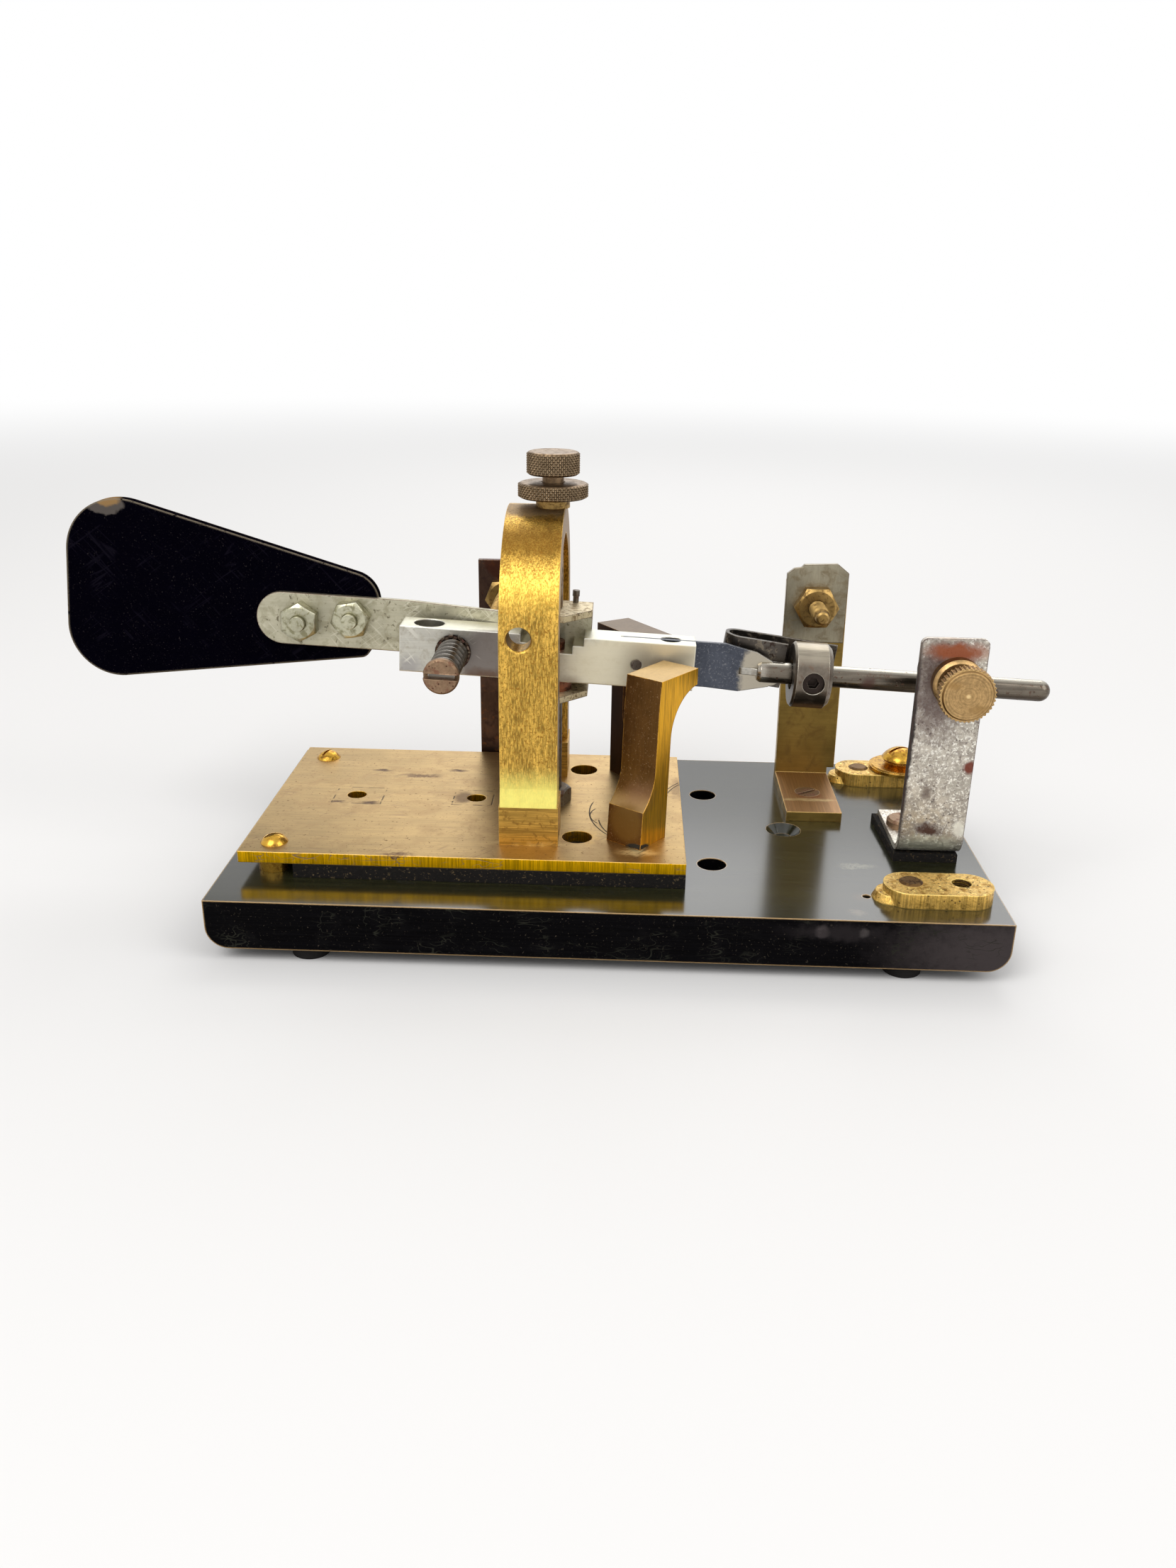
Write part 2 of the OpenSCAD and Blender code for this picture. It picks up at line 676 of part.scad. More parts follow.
module base() color(black) at(0, 0, foot_h) difference() {
    translate([0, -base_w / 2, 0]) cube([base_l, base_w, base_t]);
    for (e = [0, 1]) translate([e * base_l, 0, 0]) mirror([e, 0, 0]) difference() {
        translate([-1, -base_w, -1]) cube([base_end_r + 1, 2 * base_w, base_end_r + 1]);
        translate([base_end_r, 0, base_end_r]) rotate([90, 0, 0])
            cylinder(r = base_end_r, h = 3 * base_w, center = true);
    }
    for (s = [-1, 1]) {
        translate([base_hole_x, s * base_hole_gap / 2, 0]) through(base_hole_r, base_t);
        translate([term_x - term_l / 2 - term_lug_out - 1, s * term_y, 0]) through(wire_hole_r, base_t);
        blind(plate_x + plate_screw_in, plate_screw_y + s * plate_screw_gap / 2, screw_r + fit);
        blind(term_x - term_rivet, s > 0 ? term_y : -term_y + term_off, screw_r + fit);
    }
    blind(term_x + term_hole, term_y, term_r + 0.3);
    blind(dash_x, dash_y + dash_foot - dash_screw_in, screw_r + fit);
    blind(dot_x + dot_w / 2, dot_screw_y, screw_r + fit);
    blind(damper_hole_x, damper_y + damper_hole_y, screw_r + fit);
    translate([plug_x, 0, 0]) through(plug_r, base_t);
    translate([plug_x, 0, base_t - plug_sink_h])
        cylinder(r1 = plug_r, r2 = plug_sink_r * 1.03, h = plug_sink_h * 1.03);
}

// a round hole through something t thick that starts at Z = 0
module through(r, t) translate([0, 0, -over]) cylinder(r = r, h = t + 2 * over);

// a blind hole in the base's top for a small screw, with room under its end
module blind(x, y, r)
    translate([x, y, base_t - screw_in - screw_room]) cylinder(r = r, h = screw_in + screw_room + over);

module feet() color([0.12, 0.08, 0.06])
    for (x = [foot_in_x, base_l - foot_in_x], s = [-1, 1])
        at(x, s * (base_w / 2 - foot_in_y), 0) cylinder(d = foot_d, h = foot_h);

module base_plug() color([0.4, 0.38, 0.35]) at(plug_x, 0, foot_h + 0.5)
    cylinder(r = plug_r, h = base_t - plug_sink_h - 0.5);

module plate_pad() color([0.1, 0.1, 0.1]) at(plate_x + pad_in, plate_front, z_base)
    cube([plate_l - pad_in, plate_w, pad_t]);

module mounting_plate() color(brass) difference() {
    at(plate_x, plate_front, z_plate - plate_t) cube([plate_l, plate_w, plate_t]);
    for (s = [-1, 1]) {
        at(plate_hole_x, s * plate_hole_gap / 2, z_plate - plate_t) through(plate_hole_r, plate_t);
        at(plate_x + plate_screw_in, plate_screw_y + s * plate_screw_gap / 2, z_plate - plate_t)
            through(screw_hole_r, plate_t);
        at(hoop_x, s * (hoop_r - hoop_screw_y), z_plate - plate_t) sunk_hole();
    }
    front_post_foot(z_plate - plate_t) sunk_hole();
    rear_post_foot(z_plate - plate_t) sunk_hole();
    for (x = [tap_xa, tap_xb]) at(x, tap_y, z_plate - plate_t) through(tap_r, plate_t);
    at(pivot_x, 0, z_plate - plate_t) through(pivot_r, plate_t);
}

// the screw axis of each post's foot, at height z
module front_post_foot(z) at(post_fx, post_fy, z) rotate(post_turn)
    translate([(post_shank - post_foot) / 2, post_w / 2, 0]) children();
module rear_post_foot(z) at(post_bx, post_by, z) rotate(post_back_turn)
    translate([post_back_start + post_back_foot / 2, post_w / 2, 0]) children();

// hole for a countersunk screw that comes up from under the plate
module sunk_hole() {
    through(screw_hole_r, plate_t);
    translate([0, 0, -eps]) cylinder(r1 = sunk_r + 0.1, r2 = screw_r, h = sunk_h + 0.1);
}

// the screw that fits it, going l into what stands on the plate
module sunk_screw(l) {
    cylinder(r1 = sunk_r, r2 = screw_r, h = sunk_h);
    cylinder(r = screw_r, h = plate_t + l);
}

// the hole for that screw in what stands on the plate, with room over its end
module foot_hole(l) translate([0, 0, -over]) cylinder(r = screw_r + fit, h = l + screw_room + over);

module plate_spacers() color(brass) for (s = [-1, 1])
    at(plate_x + plate_screw_in, plate_screw_y + s * plate_screw_gap / 2, z_base) difference() {
        cylinder(d = spacer_d, h = pad_t);
        through(screw_hole_r, pad_t);
    }

module plate_screws() color(dark_brass) for (s = [-1, 1])
    at(plate_x + plate_screw_in, plate_screw_y + s * plate_screw_gap / 2, z_plate) {
        round_head(plate_screw_d, plate_screw_h, s > 0 ? 60 : 25);
        shank(plate_t + pad_t);
    }

module hoop() color(brass) at(hoop_x, 0, 0) difference() {
    union() {
        translate([0, 0, z_arch]) rotate([0, 90, 0])
            cylinder(r = hoop_r, h = hoop_w, center = true, $fn = 128);
        translate([-hoop_w / 2, -hoop_r, z_block]) cube([hoop_w, 2 * hoop_r, z_arch - z_block]);
        for (s = [0, 1]) mirror([0, s, 0]) translate([-hoop_w / 2, 0, z_block])
            rotate([90, 0, 90]) linear_extrude(hoop_w)
                polygon([[hoop_r - 1, 0], [hoop_r + hoop_flare, 0], [hoop_r, hoop_flare_h],
                    [hoop_r - 1, hoop_flare_h]]);
    }
    translate([0, 0, z_arch]) rotate([0, 90, 0])
        cylinder(r = hoop_r - hoop_t, h = hoop_w + 2 * over, center = true, $fn = 128);
    translate([-hoop_w, -hoop_r + hoop_t, z_block - over])
        cube([2 * hoop_w, 2 * (hoop_r - hoop_t), z_arch - z_block + over]);
    translate([hoop_left, 0, z_hoop - boss_sink]) cylinder(d = boss_d, h = boss_sink + over);
    translate([hoop_left, 0, z_hoop - hoop_t]) through(pivot_r + fit, hoop_t);
    translate([hoop_hole_x, 0, z_plate + hoop_hole_z]) {
        along_y(hoop_hole_d / 2, -hoop_r - 2, hoop_t + 3);
        along_y(hoop_hole_d / 2 + 0.8, -hoop_r - 0.4, 0.9, hoop_hole_d / 2 - 0.1);
    }
}

module hoop_feet() color(brass) for (s = [-1, 1]) difference() {
    at(hoop_x, s * (hoop_r + hoop_foot_out - hoop_foot_d / 2), z_plate + hoop_foot_h / 2)
        cube([hoop_foot_w, hoop_foot_d, hoop_foot_h], center = true);
    at(hoop_x, s * (hoop_r - hoop_screw_y), z_plate) foot_hole(post_screw_l);
}

module hoop_screws() color(steel) for (s = [-1, 1])
    at(hoop_x, s * (hoop_r - hoop_screw_y), z_plate - plate_t) sunk_screw(post_screw_l);

module pivot_boss() color(brass) at(pivot_x, 0, z_hoop - boss_sink) difference() {
    cylinder(d = boss_d, h = boss_h + boss_sink);
    through(pivot_r + fit, boss_h + boss_sink);
}

// a disc of diameter d and height h with a turned edge at each end
module knurl_blank(d, h) {
    cylinder(d1 = d - 2 * knurl_edge, d2 = d, h = knurl_edge_h);
    translate([0, 0, knurl_edge_h]) cylinder(d = d, h = h - 2 * knurl_edge_h);
    translate([0, 0, h - knurl_edge_h]) cylinder(d1 = d, d2 = d - 2 * knurl_edge, h = knurl_edge_h);
}

module pivot_lock_nut() color(dark_brass) at(pivot_x, 0, z_boss) difference() {
    knurl_blank(locknut_d, locknut_h);
    through(pivot_r + fit, locknut_h);
}

module pivot_screw() color(dark_brass) at(pivot_x, 0, 0) {
    translate([0, 0, z_knob]) knurl_blank(knob_d, knob_h);
    translate([0, 0, z_top_shoulder]) cylinder(r = pivot_r, h = z_knob - z_top_shoulder + 1);
    translate([0, 0, z_arm + pivot_end]) cylinder(r = journal_r, h = z_top_shoulder - z_arm);
}

module lower_pivot_screw() color(steel) at(pivot_x, 0, 0) {
    translate([0, 0, z_plate - plate_t]) cylinder(r = pivot_r, h = z_low_shoulder - z_plate + plate_t);
    translate([0, 0, z_low_shoulder - 1])
        cylinder(r = journal_r, h = z_arm - bar_h / 2 - low_pivot_gap - z_low_shoulder + 1);
}

module lower_pivot_nut() color(dark_brass) at(pivot_x, 0, z_plate)
    hex_nut(lownut_af, lownut_h, pivot_r + fit, 10);

// the front post's side, seen across its thickness: u along the head, z up
module front_post_side() difference() {
    polygon([[0, post_h], [post_head, post_h], [post_head, post_h - post_head_h],
        [post_shank, post_h - post_head_h - post_throat_r], [post_shank - 0.7, 0], [-post_foot, 0],
        [-post_foot + 0.65, post_foot_h], [-post_waist_in, post_waist_z], [-0.6, post_h - 6.6]]);
    translate([post_shank + post_throat_r, post_h - post_head_h - post_throat_r])
        circle(post_throat_r, $fn = 96);
    translate([-post_waist_r - post_waist_in, post_waist_z]) intersection() {
        circle(post_waist_r, $fn = 96);
        translate([0, post_foot_h - post_waist_z]) square([post_waist_r + 1, post_waist_z - post_foot_h]);
    }
}

module front_stop_post() color(dark_brass) difference() {
    at(post_fx, post_fy, z_plate) rotate(post_turn) upright(0, post_w) front_post_side();
    front_post_foot(z_plate) foot_hole(post_screw_l);
}

// the rear post's side: its head runs out both ways from the shank
module rear_post_side() {
    s0 = post_back_start;
    s1 = s0 + post_back_shank;
    z1 = post_h - post_head_h;
    difference() {
        polygon([[0, post_h], [post_back_head, post_h], [post_back_head, z1], [s1 + post_back_r, z1],
            [s1, z1 - post_back_r], [s1, post_waist_z], [s0 + post_back_foot - 0.8, post_foot_h],
            [s0 + post_back_foot, 0], [s0, 0], [s0, z1], [0, z1]]);
        translate([s1 + post_back_r, z1 - post_back_r]) circle(post_back_r, $fn = 96);
        translate([s1 + post_waist_r, post_waist_z]) intersection() {
            circle(post_waist_r, $fn = 96);
            translate([-post_waist_r - 1, post_foot_h - post_waist_z])
                square([post_waist_r + 1, post_waist_z - post_foot_h]);
        }
    }
}

module rear_stop_post() color(dark_brass) difference() {
    at(post_bx, post_by, z_plate) rotate(post_back_turn) upright(0, post_w) rear_post_side();
    rear_post_foot(z_plate) foot_hole(post_screw_l);
}

module post_screws() color(steel) {
    front_post_foot(z_plate - plate_t) sunk_screw(post_screw_l);
    rear_post_foot(z_plate - plate_t) sunk_screw(post_screw_l);
}

module dot_bracket() color([0.5, 0.42, 0.2]) difference() {
    union() {
        at(dot_x, dot_foot_y, z_base) cube([dot_w, dot_up_y - dot_foot_y + dot_t, dot_t]);
        at(dot_x + dot_w / 2, 0, z_base + dot_heel) upright(dot_up_y, dot_t)
            polygon([[-dot_up_w / 2 + dot_lean, 0], [dot_up_w / 2 + dot_lean, 0],
                [dot_up_w / 2 + 0.25, dot_plate_top], [-dot_up_w / 2 + 0.25, dot_plate_top]]);
        at(dot_x, dot_up_y, z_base) cube([dot_w, dot_t, dot_heel + over]);
    }
    at(dot_x + dot_w / 2, dot_screw_y, z_base) {
        through(screw_hole_r, dot_t);
        translate([0, 0, dot_t - dot_sink_h])
            cylinder(r1 = screw_hole_r, r2 = dot_sink_r + 0.2, h = dot_sink_h + 0.2);
    }
    at(dot_x + dot_w / 2, 0, z_base + stud_z) through_y(stud_r + fit, dot_up_y, dot_t);
}

module dot_bracket_strip() color([0.5, 0.49, 0.47]) difference() {
    at(dot_x + dot_w / 2, 0, z_base + dot_top) upright(dot_up_y - dot_strip_t, dot_strip_t)
        polygon([for (p = ragged_top) [p[0] * dot_up_w / 2, p[1]]]);
    at(dot_x + dot_w / 2, 0, z_base + stud_z)
        through_y(stud_r + fit, dot_up_y - dot_strip_t, dot_strip_t);
}
// the facing's ragged outline: part of its half width, and depth below its top
ragged_top = [[-1, -dot_strip_h], [1, -dot_strip_h], [1, -2.2], [0.62, 0], [-0.46, -0.3],
    [-0.54, -1], [-0.78, -1.3], [-1, -2.6]];

module dot_bracket_screw() color(dark_brass) at(dot_x + dot_w / 2, dot_screw_y, z_base) difference() {
    union() {
        translate([0, 0, -screw_in]) cylinder(r = screw_r, h = screw_in + dot_t);
        translate([0, 0, dot_t - dot_sink_h + 0.1])
            cylinder(r1 = screw_r, r2 = dot_sink_r, h = dot_sink_h - 0.1);
    }
    rotate(35) translate([-5, -slot_w / 2, dot_t - 0.7]) cube([10, slot_w, 2]);
}

module dot_stud() color(brass) at(dot_x + dot_w / 2, 0, z_base + stud_z) difference() {
    union() {
        along_y(stud_r, dot_tip_y + stud_edge, dot_up_y + dot_t + stud_out - dot_tip_y);
        along_y(stud_r - stud_edge, dot_tip_y, stud_edge, stud_r);
    }
    cross_slot(dot_up_y + dot_t + stud_out - 0.5, slot_w);
}

module dot_stud_nut() color(brass) at(dot_x + dot_w / 2, dot_up_y - dot_strip_t, z_base + stud_z)
    rotate([90, 0, 0]) hex_nut(stud_nut_af, stud_nut_h, stud_r + fit);

module dash_bracket() color([0.2, 0.14, 0.1]) difference() {
    union() {
        at(dash_x - dash_w / 2, dash_y, z_base)
            bent_plate(dash_w, dash_t, dash_top, dash_foot, dash_bend);
    }
    at(dash_x, 0, z_base + stud_z) through_y(stud_r + fit, dash_y, dash_t);
    at(dash_x, dash_y + dash_foot - dash_screw_in, z_base) through(screw_hole_r, dash_t);
}

// a plate w wide and t thick that stands h high and is bent into a foot l long
module bent_plate(w, t, h, l, r) {
    translate([0, 0, r]) cube([w, t, h - r]);
    translate([0, r - eps, 0]) cube([w, l - r + eps, t]);
    translate([0, r, r]) rotate([90, 0, 90]) linear_extrude(w) difference() {
        intersection() {
            circle(r);
            translate([-r, -r]) square(r + eps);
        }
        circle(r - t);
    }
}

module dash_bracket_screw() color(steel) at(dash_x, dash_y + dash_foot - dash_screw_in, z_base) {
    translate([0, 0, dash_t]) shank(dash_t);
    translate([0, 0, dash_t]) round_head(5, 1.6);
}

module dash_stud() color(brass) at(dash_x, 0, z_base + stud_z) difference() {
    union() {
        along_y(stud_r, dash_tip + stud_edge, dash_y + dash_t + stud_out - 1 - dash_tip);
        along_y(stud_r - stud_edge, dash_tip, stud_edge, stud_r);
    }
    cross_slot(dash_y + dash_t + stud_out - 1.3, slot_w);
}
// the dash stud ends just behind the lever strip, with a gap that the lever closes
dash_tip = strip_back(-dash_left) + dash_gap;
function strip_back(x) = let (k = (x + strip_bend_a) / (strip_bend_a - strip_bend_b))
    strip_t + bar_y + (strip_y - bar_y) * (1 - min(1, max(0, k)));

module dash_stud_nut() color(brass) at(dash_x, dash_y, z_base + stud_z)
    rotate([90, 0, 0]) hex_nut(dash_nut_af, stud_nut_h, stud_r + fit, 8);

module damper_bracket() color([0.55, 0.53, 0.5]) difference() {
    at(damper_x, damper_y, z_base + damper_pad_t)
        bent_plate(damper_w, damper_t, damper_top - damper_pad_t, damper_foot, damper_bend);
    at(thumb_x, 0, z_base + thumb_z) through_y(thumb_r + fit, damper_y, damper_t);
    at(damper_hole_x, damper_y + damper_hole_y, z_base + damper_pad_t) through(screw_hole_r, damper_t);
    for (e = [0, 1]) at(damper_x + e * damper_w, damper_y, z_base + damper_top)
        mirror([e, 0, 0]) upright(-over, damper_t + 2 * over) difference() {
            translate([-over, -damper_corner_r]) square(damper_corner_r + over);
            translate([damper_corner_r, -damper_corner_r]) circle(damper_corner_r);
        }
}

module damper_bracket_pad() color([0.08, 0.08, 0.08]) difference() {
    at(damper_x, damper_y + 1.5, z_base) linear_extrude(damper_pad_t)
        polygon([[-0.3, 0], [damper_w - 0.3, 0], [damper_w - 0.3, damper_foot - 1],
            [-1.3, damper_foot - 1]]);
    at(damper_hole_x, damper_y + damper_hole_y, z_base) through(screw_hole_r, damper_pad_t);
}

module damper_bracket_screw() color(dark_brass)
    at(damper_hole_x, damper_y + damper_hole_y, z_base + damper_pad_t + damper_t) difference() {
        union() {
            cylinder(d = damper_screw_d, h = damper_screw_h - 0.5);
            translate([0, 0, damper_screw_h - 0.5])
                cylinder(d1 = damper_screw_d, d2 = damper_screw_d - 1, h = 0.5);
            shank(damper_t + damper_pad_t);
        }
        rotate(80) translate([-5, -slot_w / 2, damper_screw_h / 2]) cube([10, slot_w, 2]);
    }

module damper_lock_nut() color(brass) at(thumb_x, damper_y, z_base + thumb_z) rotate([90, 0, 0])
    difference() {
        union() {
            cylinder(d = thumb_d - 1, h = thumb_nut_h - 0.6);
            translate([0, 0, thumb_nut_h - 0.6]) cylinder(d1 = thumb_d - 1, d2 = thumb_d - 2.4, h = 0.6);
        }
        through(thumb_r + fit, thumb_nut_h);
    }

// the thumb screw: head in front of the bracket, shank through to the disc
module thumb_screw() color(brass) at(thumb_x, 0, z_base + thumb_z) {
    translate([0, thumb_front, 0]) rotate([-90, 0, 0]) {
        cylinder(d1 = thumb_rim_d - 0.7, d2 = thumb_rim_d, h = 0.5);
        translate([0, 0, 0.5]) grooved(thumb_d / 2, thumb_h - 1, thumb_teeth, thumb_groove);
        translate([0, 0, thumb_h - 0.5]) cylinder(d1 = thumb_rim_d, d2 = thumb_rim_d - 1.9, h = 0.9);
    }
    along_y(thumb_r, thumb_front + 1, disc_front + disc_in - thumb_front - 1);
}

module damper_disc() color([0.25, 0.22, 0.18]) at(thumb_x, disc_front, z_base + thumb_z)
    difference() {
        along_y(disc_d / 2, 0, disc_h);
        along_y(thumb_r + fit, -over, over + disc_in + 0.1);
    }

// obround bar with a low round lug at its left end; holes set back by off
module terminal(off) {
    difference() {
        union() {
            for (e = [-1, 1]) translate([e * (term_l - term_w) / 2, 0, 0])
                cylinder(d = term_w, h = term_t);
            translate([-(term_l - term_w) / 2, -term_w / 2, 0]) cube([term_l - term_w, term_w, term_t]);
            translate([term_lug_w / 2 - term_l / 2 - term_lug_out, 0, 0])
                cylinder(d1 = term_lug_w, d2 = term_lug_w - 1.6, h = term_lug_h);
        }
        translate([term_hole, off, 0]) through(term_r, term_t);
        translate([-term_rivet, off, 0]) through(screw_hole_r, term_t);
    }
}

module front_terminal() color(brass) at(term_x, -term_y, z_base) terminal(term_off);

module rear_terminal() color(brass) at(term_x, term_y, z_base) terminal(0);

module terminal_rivets() color(dark_brass) for (y = [-term_y + term_off, term_y])
    at(term_x - term_rivet, y, z_base) {
        translate([0, 0, term_t]) shank(term_t);
        translate([0, 0, term_t]) cylinder(r1 = rivet_r, r2 = rivet_r - 0.6, h = rivet_h);
    }

module terminal_washer() color(brass) at(term_x + term_hole, term_y, z_base + term_t) difference() {
    union() {
        cylinder(d = term_washer_d - 1, h = term_gap);
        translate([0, 0, 0.3]) cylinder(d = term_washer_d, h = term_gap - 0.6);
    }
    through(term_r + 0.2, term_gap);
}

module terminal_screw() color(brass)
    at(term_x + term_hole, term_y, z_base + term_t + term_gap) {
        translate([0, 0, term_collar_h]) round_head(term_screw_d, term_dome_h, 20, 1);
        cylinder(d1 = term_screw_d - 2.4, d2 = term_screw_d - 1, h = 1);
        translate([0, 0, 1]) cylinder(d = term_screw_d - 2.8, h = term_collar_h - 1);
        translate([0, 0, -term_t - term_gap - 3]) cylinder(r = term_r - fit, h = term_t + term_gap + 3.1);
    }

module lever_bar() color(alu) arm() difference() {
    translate([-bar_left, -bar_y, -bar_h / 2]) cube([bar_left + bar_right, bar_w, bar_h]);
    for (n = [[notch_l, notch_d], [notch_low_l, notch_low_d]])
        translate([-n[0], -bar_w, bar_h / 2 - n[1]]) cube([2 * n[0], 2 * bar_w, 10]);
    for (h = [[-bar_hole_x, bar_hole_r], [bar_bore_x, bar_bore_r]])
        translate([h[0], 0, -bar_h]) cylinder(r = h[1], h = 2 * bar_h);
    translate([-adjust_x, 0, 0]) along_y(adjust_r + fit, -bar_w, 2 * bar_w);
    translate([pin_x, 0, 0]) along_y(pin_r + 0.02, -bar_w, 2 * bar_w);
    translate([vib_x0 - 0.5, -vib_t / 2 - 0.05, -bar_h]) cube([bar_right, vib_t + 0.1, 2 * bar_h]);
    for (p = yoke_bolts) translate([p[0], 0, p[1]]) along_y(yoke_screw_r + 0.05, 1, bar_w);
}

// flat left part, a bent run to the bar, and a flat seat against the bar's rear
module lever_strip() color(galvanised) arm() difference() {
    union() {
        translate([0, 0, strip_up - strip_h / 2]) linear_extrude(strip_h)
            polygon([[-strip_left + strip_h / 2, strip_y], [-strip_bend_a, strip_y], [-strip_bend_b, bar_y],
                [yoke_right, bar_y], [yoke_right, bar_y + strip_t], [-strip_bend_b + 0.1, bar_y + strip_t],
                [-strip_bend_a + 0.1, strip_y + strip_t], [-strip_left + strip_h / 2, strip_y + strip_t]]);
        translate([-strip_left + strip_h / 2, 0, strip_up]) along_y(strip_h / 2, strip_y, strip_t);
    }
    for (p = paddle_bolts) translate([p[0], 0, p[1]]) through_y(bolt_r + 0.08, strip_y, strip_t);
    translate([-yoke_left, bar_y - over, yoke_up - yoke_t - 0.02])
        cube([yoke_left + yoke_right + over, strip_t + 2 * over, strip_h]);
    for (p = yoke_bolts) translate([p[0], 0, p[1]]) through_y(yoke_screw_r + 0.2, bar_y, strip_t);
}

// outline in X and Z of the fibre paddle: round corners joined by straight edges
module paddle_side() hull()
    for (p = paddle_corners) translate([p[0], p[1]]) circle(p[2], $fn = 96);

module paddle() color([0.07, 0.07, 0.075]) difference() {
    at(paddle_x, 0, z_base + paddle_low) upright(strip_y + strip_t, paddle_t) paddle_side();
    arm() for (p = paddle_bolts) translate([p[0], 0, p[1]])
        through_y(bolt_r + 0.08, strip_y + strip_t, paddle_t);
}

module paddle_screws() color(steel) arm() for (p = paddle_bolts) translate([p[0], 0, p[1]]) {
    along_y(bolt_r, strip_y - bolt_out, strip_t + paddle_t + bolt_out + 0.1);
    translate([0, strip_y + strip_t + paddle_t, 0]) rotate([-90, 0, 0])
        round_head(bolt_head_d, bolt_head_h);
}

module paddle_nuts() color(steel) arm() for (p = paddle_bolts)
    translate([p[0], strip_y, p[1]]) rotate([90, 0, 0])
        hex_nut(paddle_nut_af, paddle_nut_h, bolt_r + fit, p[2]);

// sheet bracket folded round the bar, with the two pivot bearings in its flanges
module yoke() color(galvanised) difference() {
    arm() {
        for (z = [yoke_up - yoke_t, -yoke_down]) translate([0, 0, z]) linear_extrude(yoke_t)
            polygon([[-yoke_left, -yoke_front], [2.5, -yoke_front], [yoke_right, -0.8],
                [yoke_right, yoke_web + yoke_t], [-yoke_left, yoke_web + yoke_t]]);
        difference() {
            translate([-yoke_left, yoke_web, -yoke_down])
                cube([yoke_right + yoke_left, yoke_t, yoke_up + yoke_down]);
            for (p = yoke_bolts) translate([p[0], 0, p[1]]) through_y(yoke_screw_r + 0.2, yoke_web, yoke_t);
        }
    }
    journal_hole();
}

// the upright hole for the pivots through what turns on them
module journal_hole() at(pivot_x, 0, z_arm - bar_h - yoke_down)
    cylinder(r = journal_r + fit, h = 2 * bar_h + yoke_down + yoke_up);

module yoke_bush() color(copper) difference() {
    arm() translate([0, 0, -yoke_down + yoke_t])
        cylinder(r = bush_r, h = yoke_down - yoke_t - bar_h / 2);
    journal_hole();
}

module pivot_cup() color([0.75, 0.6, 0.5]) difference() {
    arm() translate([0, 0, bar_h / 2 - notch_low_d]) cylinder(r = cup_r, h = cup_h);
    journal_hole();
}

module yoke_screws() color(dark_brass) arm() {
    for (p = yoke_bolts) translate([p[0], 0, p[1]]) {
        along_y(yoke_screw_r, 1.2, yoke_web + yoke_t - 1.1);
        translate([0, yoke_web + yoke_t, 0]) rotate([-90, 0, 0]) round_head(4, 1.4);
    }
    translate([4.4, 5.5, yoke_up]) {
        cylinder(r = yoke_screw_r - 0.15, h = 2);
        translate([0, 0, 1.5]) cylinder(r = yoke_screw_r, h = 1.3);
    }
}

module adjusting_screw() color(steel) arm() translate([-adjust_x, 0, 0]) difference() {
    union() {
        along_y(adjust_r, -bar_y - adjust_out + over, adjust_out + bar_w);
        along_y(adjust_r, -bar_y - adjust_out, adjust_rim, adjust_r + adjust_rim);
        along_y(adjust_r + adjust_rim, -bar_y - adjust_out + adjust_rim, adjust_head_h - adjust_rim);
        along_y(adjust_nose_r, bar_y, adjust_tip - bar_y);
    }
    cross_slot(-bar_y - adjust_out + adjust_rim + over - 3, adjust_slot);
}
// its nose ends on the bent run of the strip
adjust_tip = strip_back(-adjust_x) - strip_t - adjust_gap;

module star_washer() color(dark_brass) arm() translate([-adjust_x, -bar_y, 0]) rotate([90, 0, 0])
    difference() {
        grooved(star_r, star_t, star_teeth, star_notch);
        through(adjust_r + fit, star_t);
    }

module spring_pin() color(copper) arm() translate([pin_x, 0, 0])
    along_y(pin_r, -bar_y - 0.3, bar_w + 0.6);

// leaf held in the bar's slot, tapering to a rounded tip inside the rod's slot
module vibrator_spring() color(blued) arm() upright(-vib_t / 2, vib_t) difference() {
    union() {
        polygon([[vib_x0, -bar_h / 2], [vib_taper - 4, -bar_h / 2],
            [vib_taper + 3.5, -bar_h / 2 - 0.45], [vib_x1 - 2.6, -4.1],
            [vib_x1 - 1.2, -2.9], [vib_x1 - 2, 1.7], [vib_taper + 7, 3.6], [vib_taper + 1.5, 4.8],
            [vib_taper, bar_h / 2], [vib_x0, bar_h / 2]]);
        translate([vib_x1 - 2.4, -1.5]) circle(2.4);
    }
    translate([pin_x, 0]) circle(pin_r + 0.03);
}

// thin solder on both sides of the spring, run out from the end of the rod
module solder_joint() color([0.62, 0.62, 0.6]) arm() for (s = [0, 1]) mirror([0, s, 0])
    translate([0, vib_t / 2, rod_z]) linear_extrude(solder_h, center = true)
        polygon([[rod_x0 - solder_l, 0], [rod_x0, 0], [rod_x0, 0.8], [rod_x0 - 1.2, 0.3]]);

module pendulum_rod() color(steel) arm() translate([0, 0, rod_z]) {
    difference() {
        rotate([0, 90, 0]) {
            translate([0, 0, rod_x0]) cylinder(r1 = 1.9, r2 = rod_r, h = 0.8);
            translate([0, 0, rod_x0 + 0.8]) cylinder(r = rod_r, h = rod_x1 - rod_r - rod_x0 - 0.8);
        }
        translate([rod_x0 - 1, -vib_t / 2, -5]) cube([vib_x1 - rod_x0 + 1.2, vib_t, 10]);
    }
    translate([rod_x1 - rod_r, 0, 0]) sphere(rod_r);
}

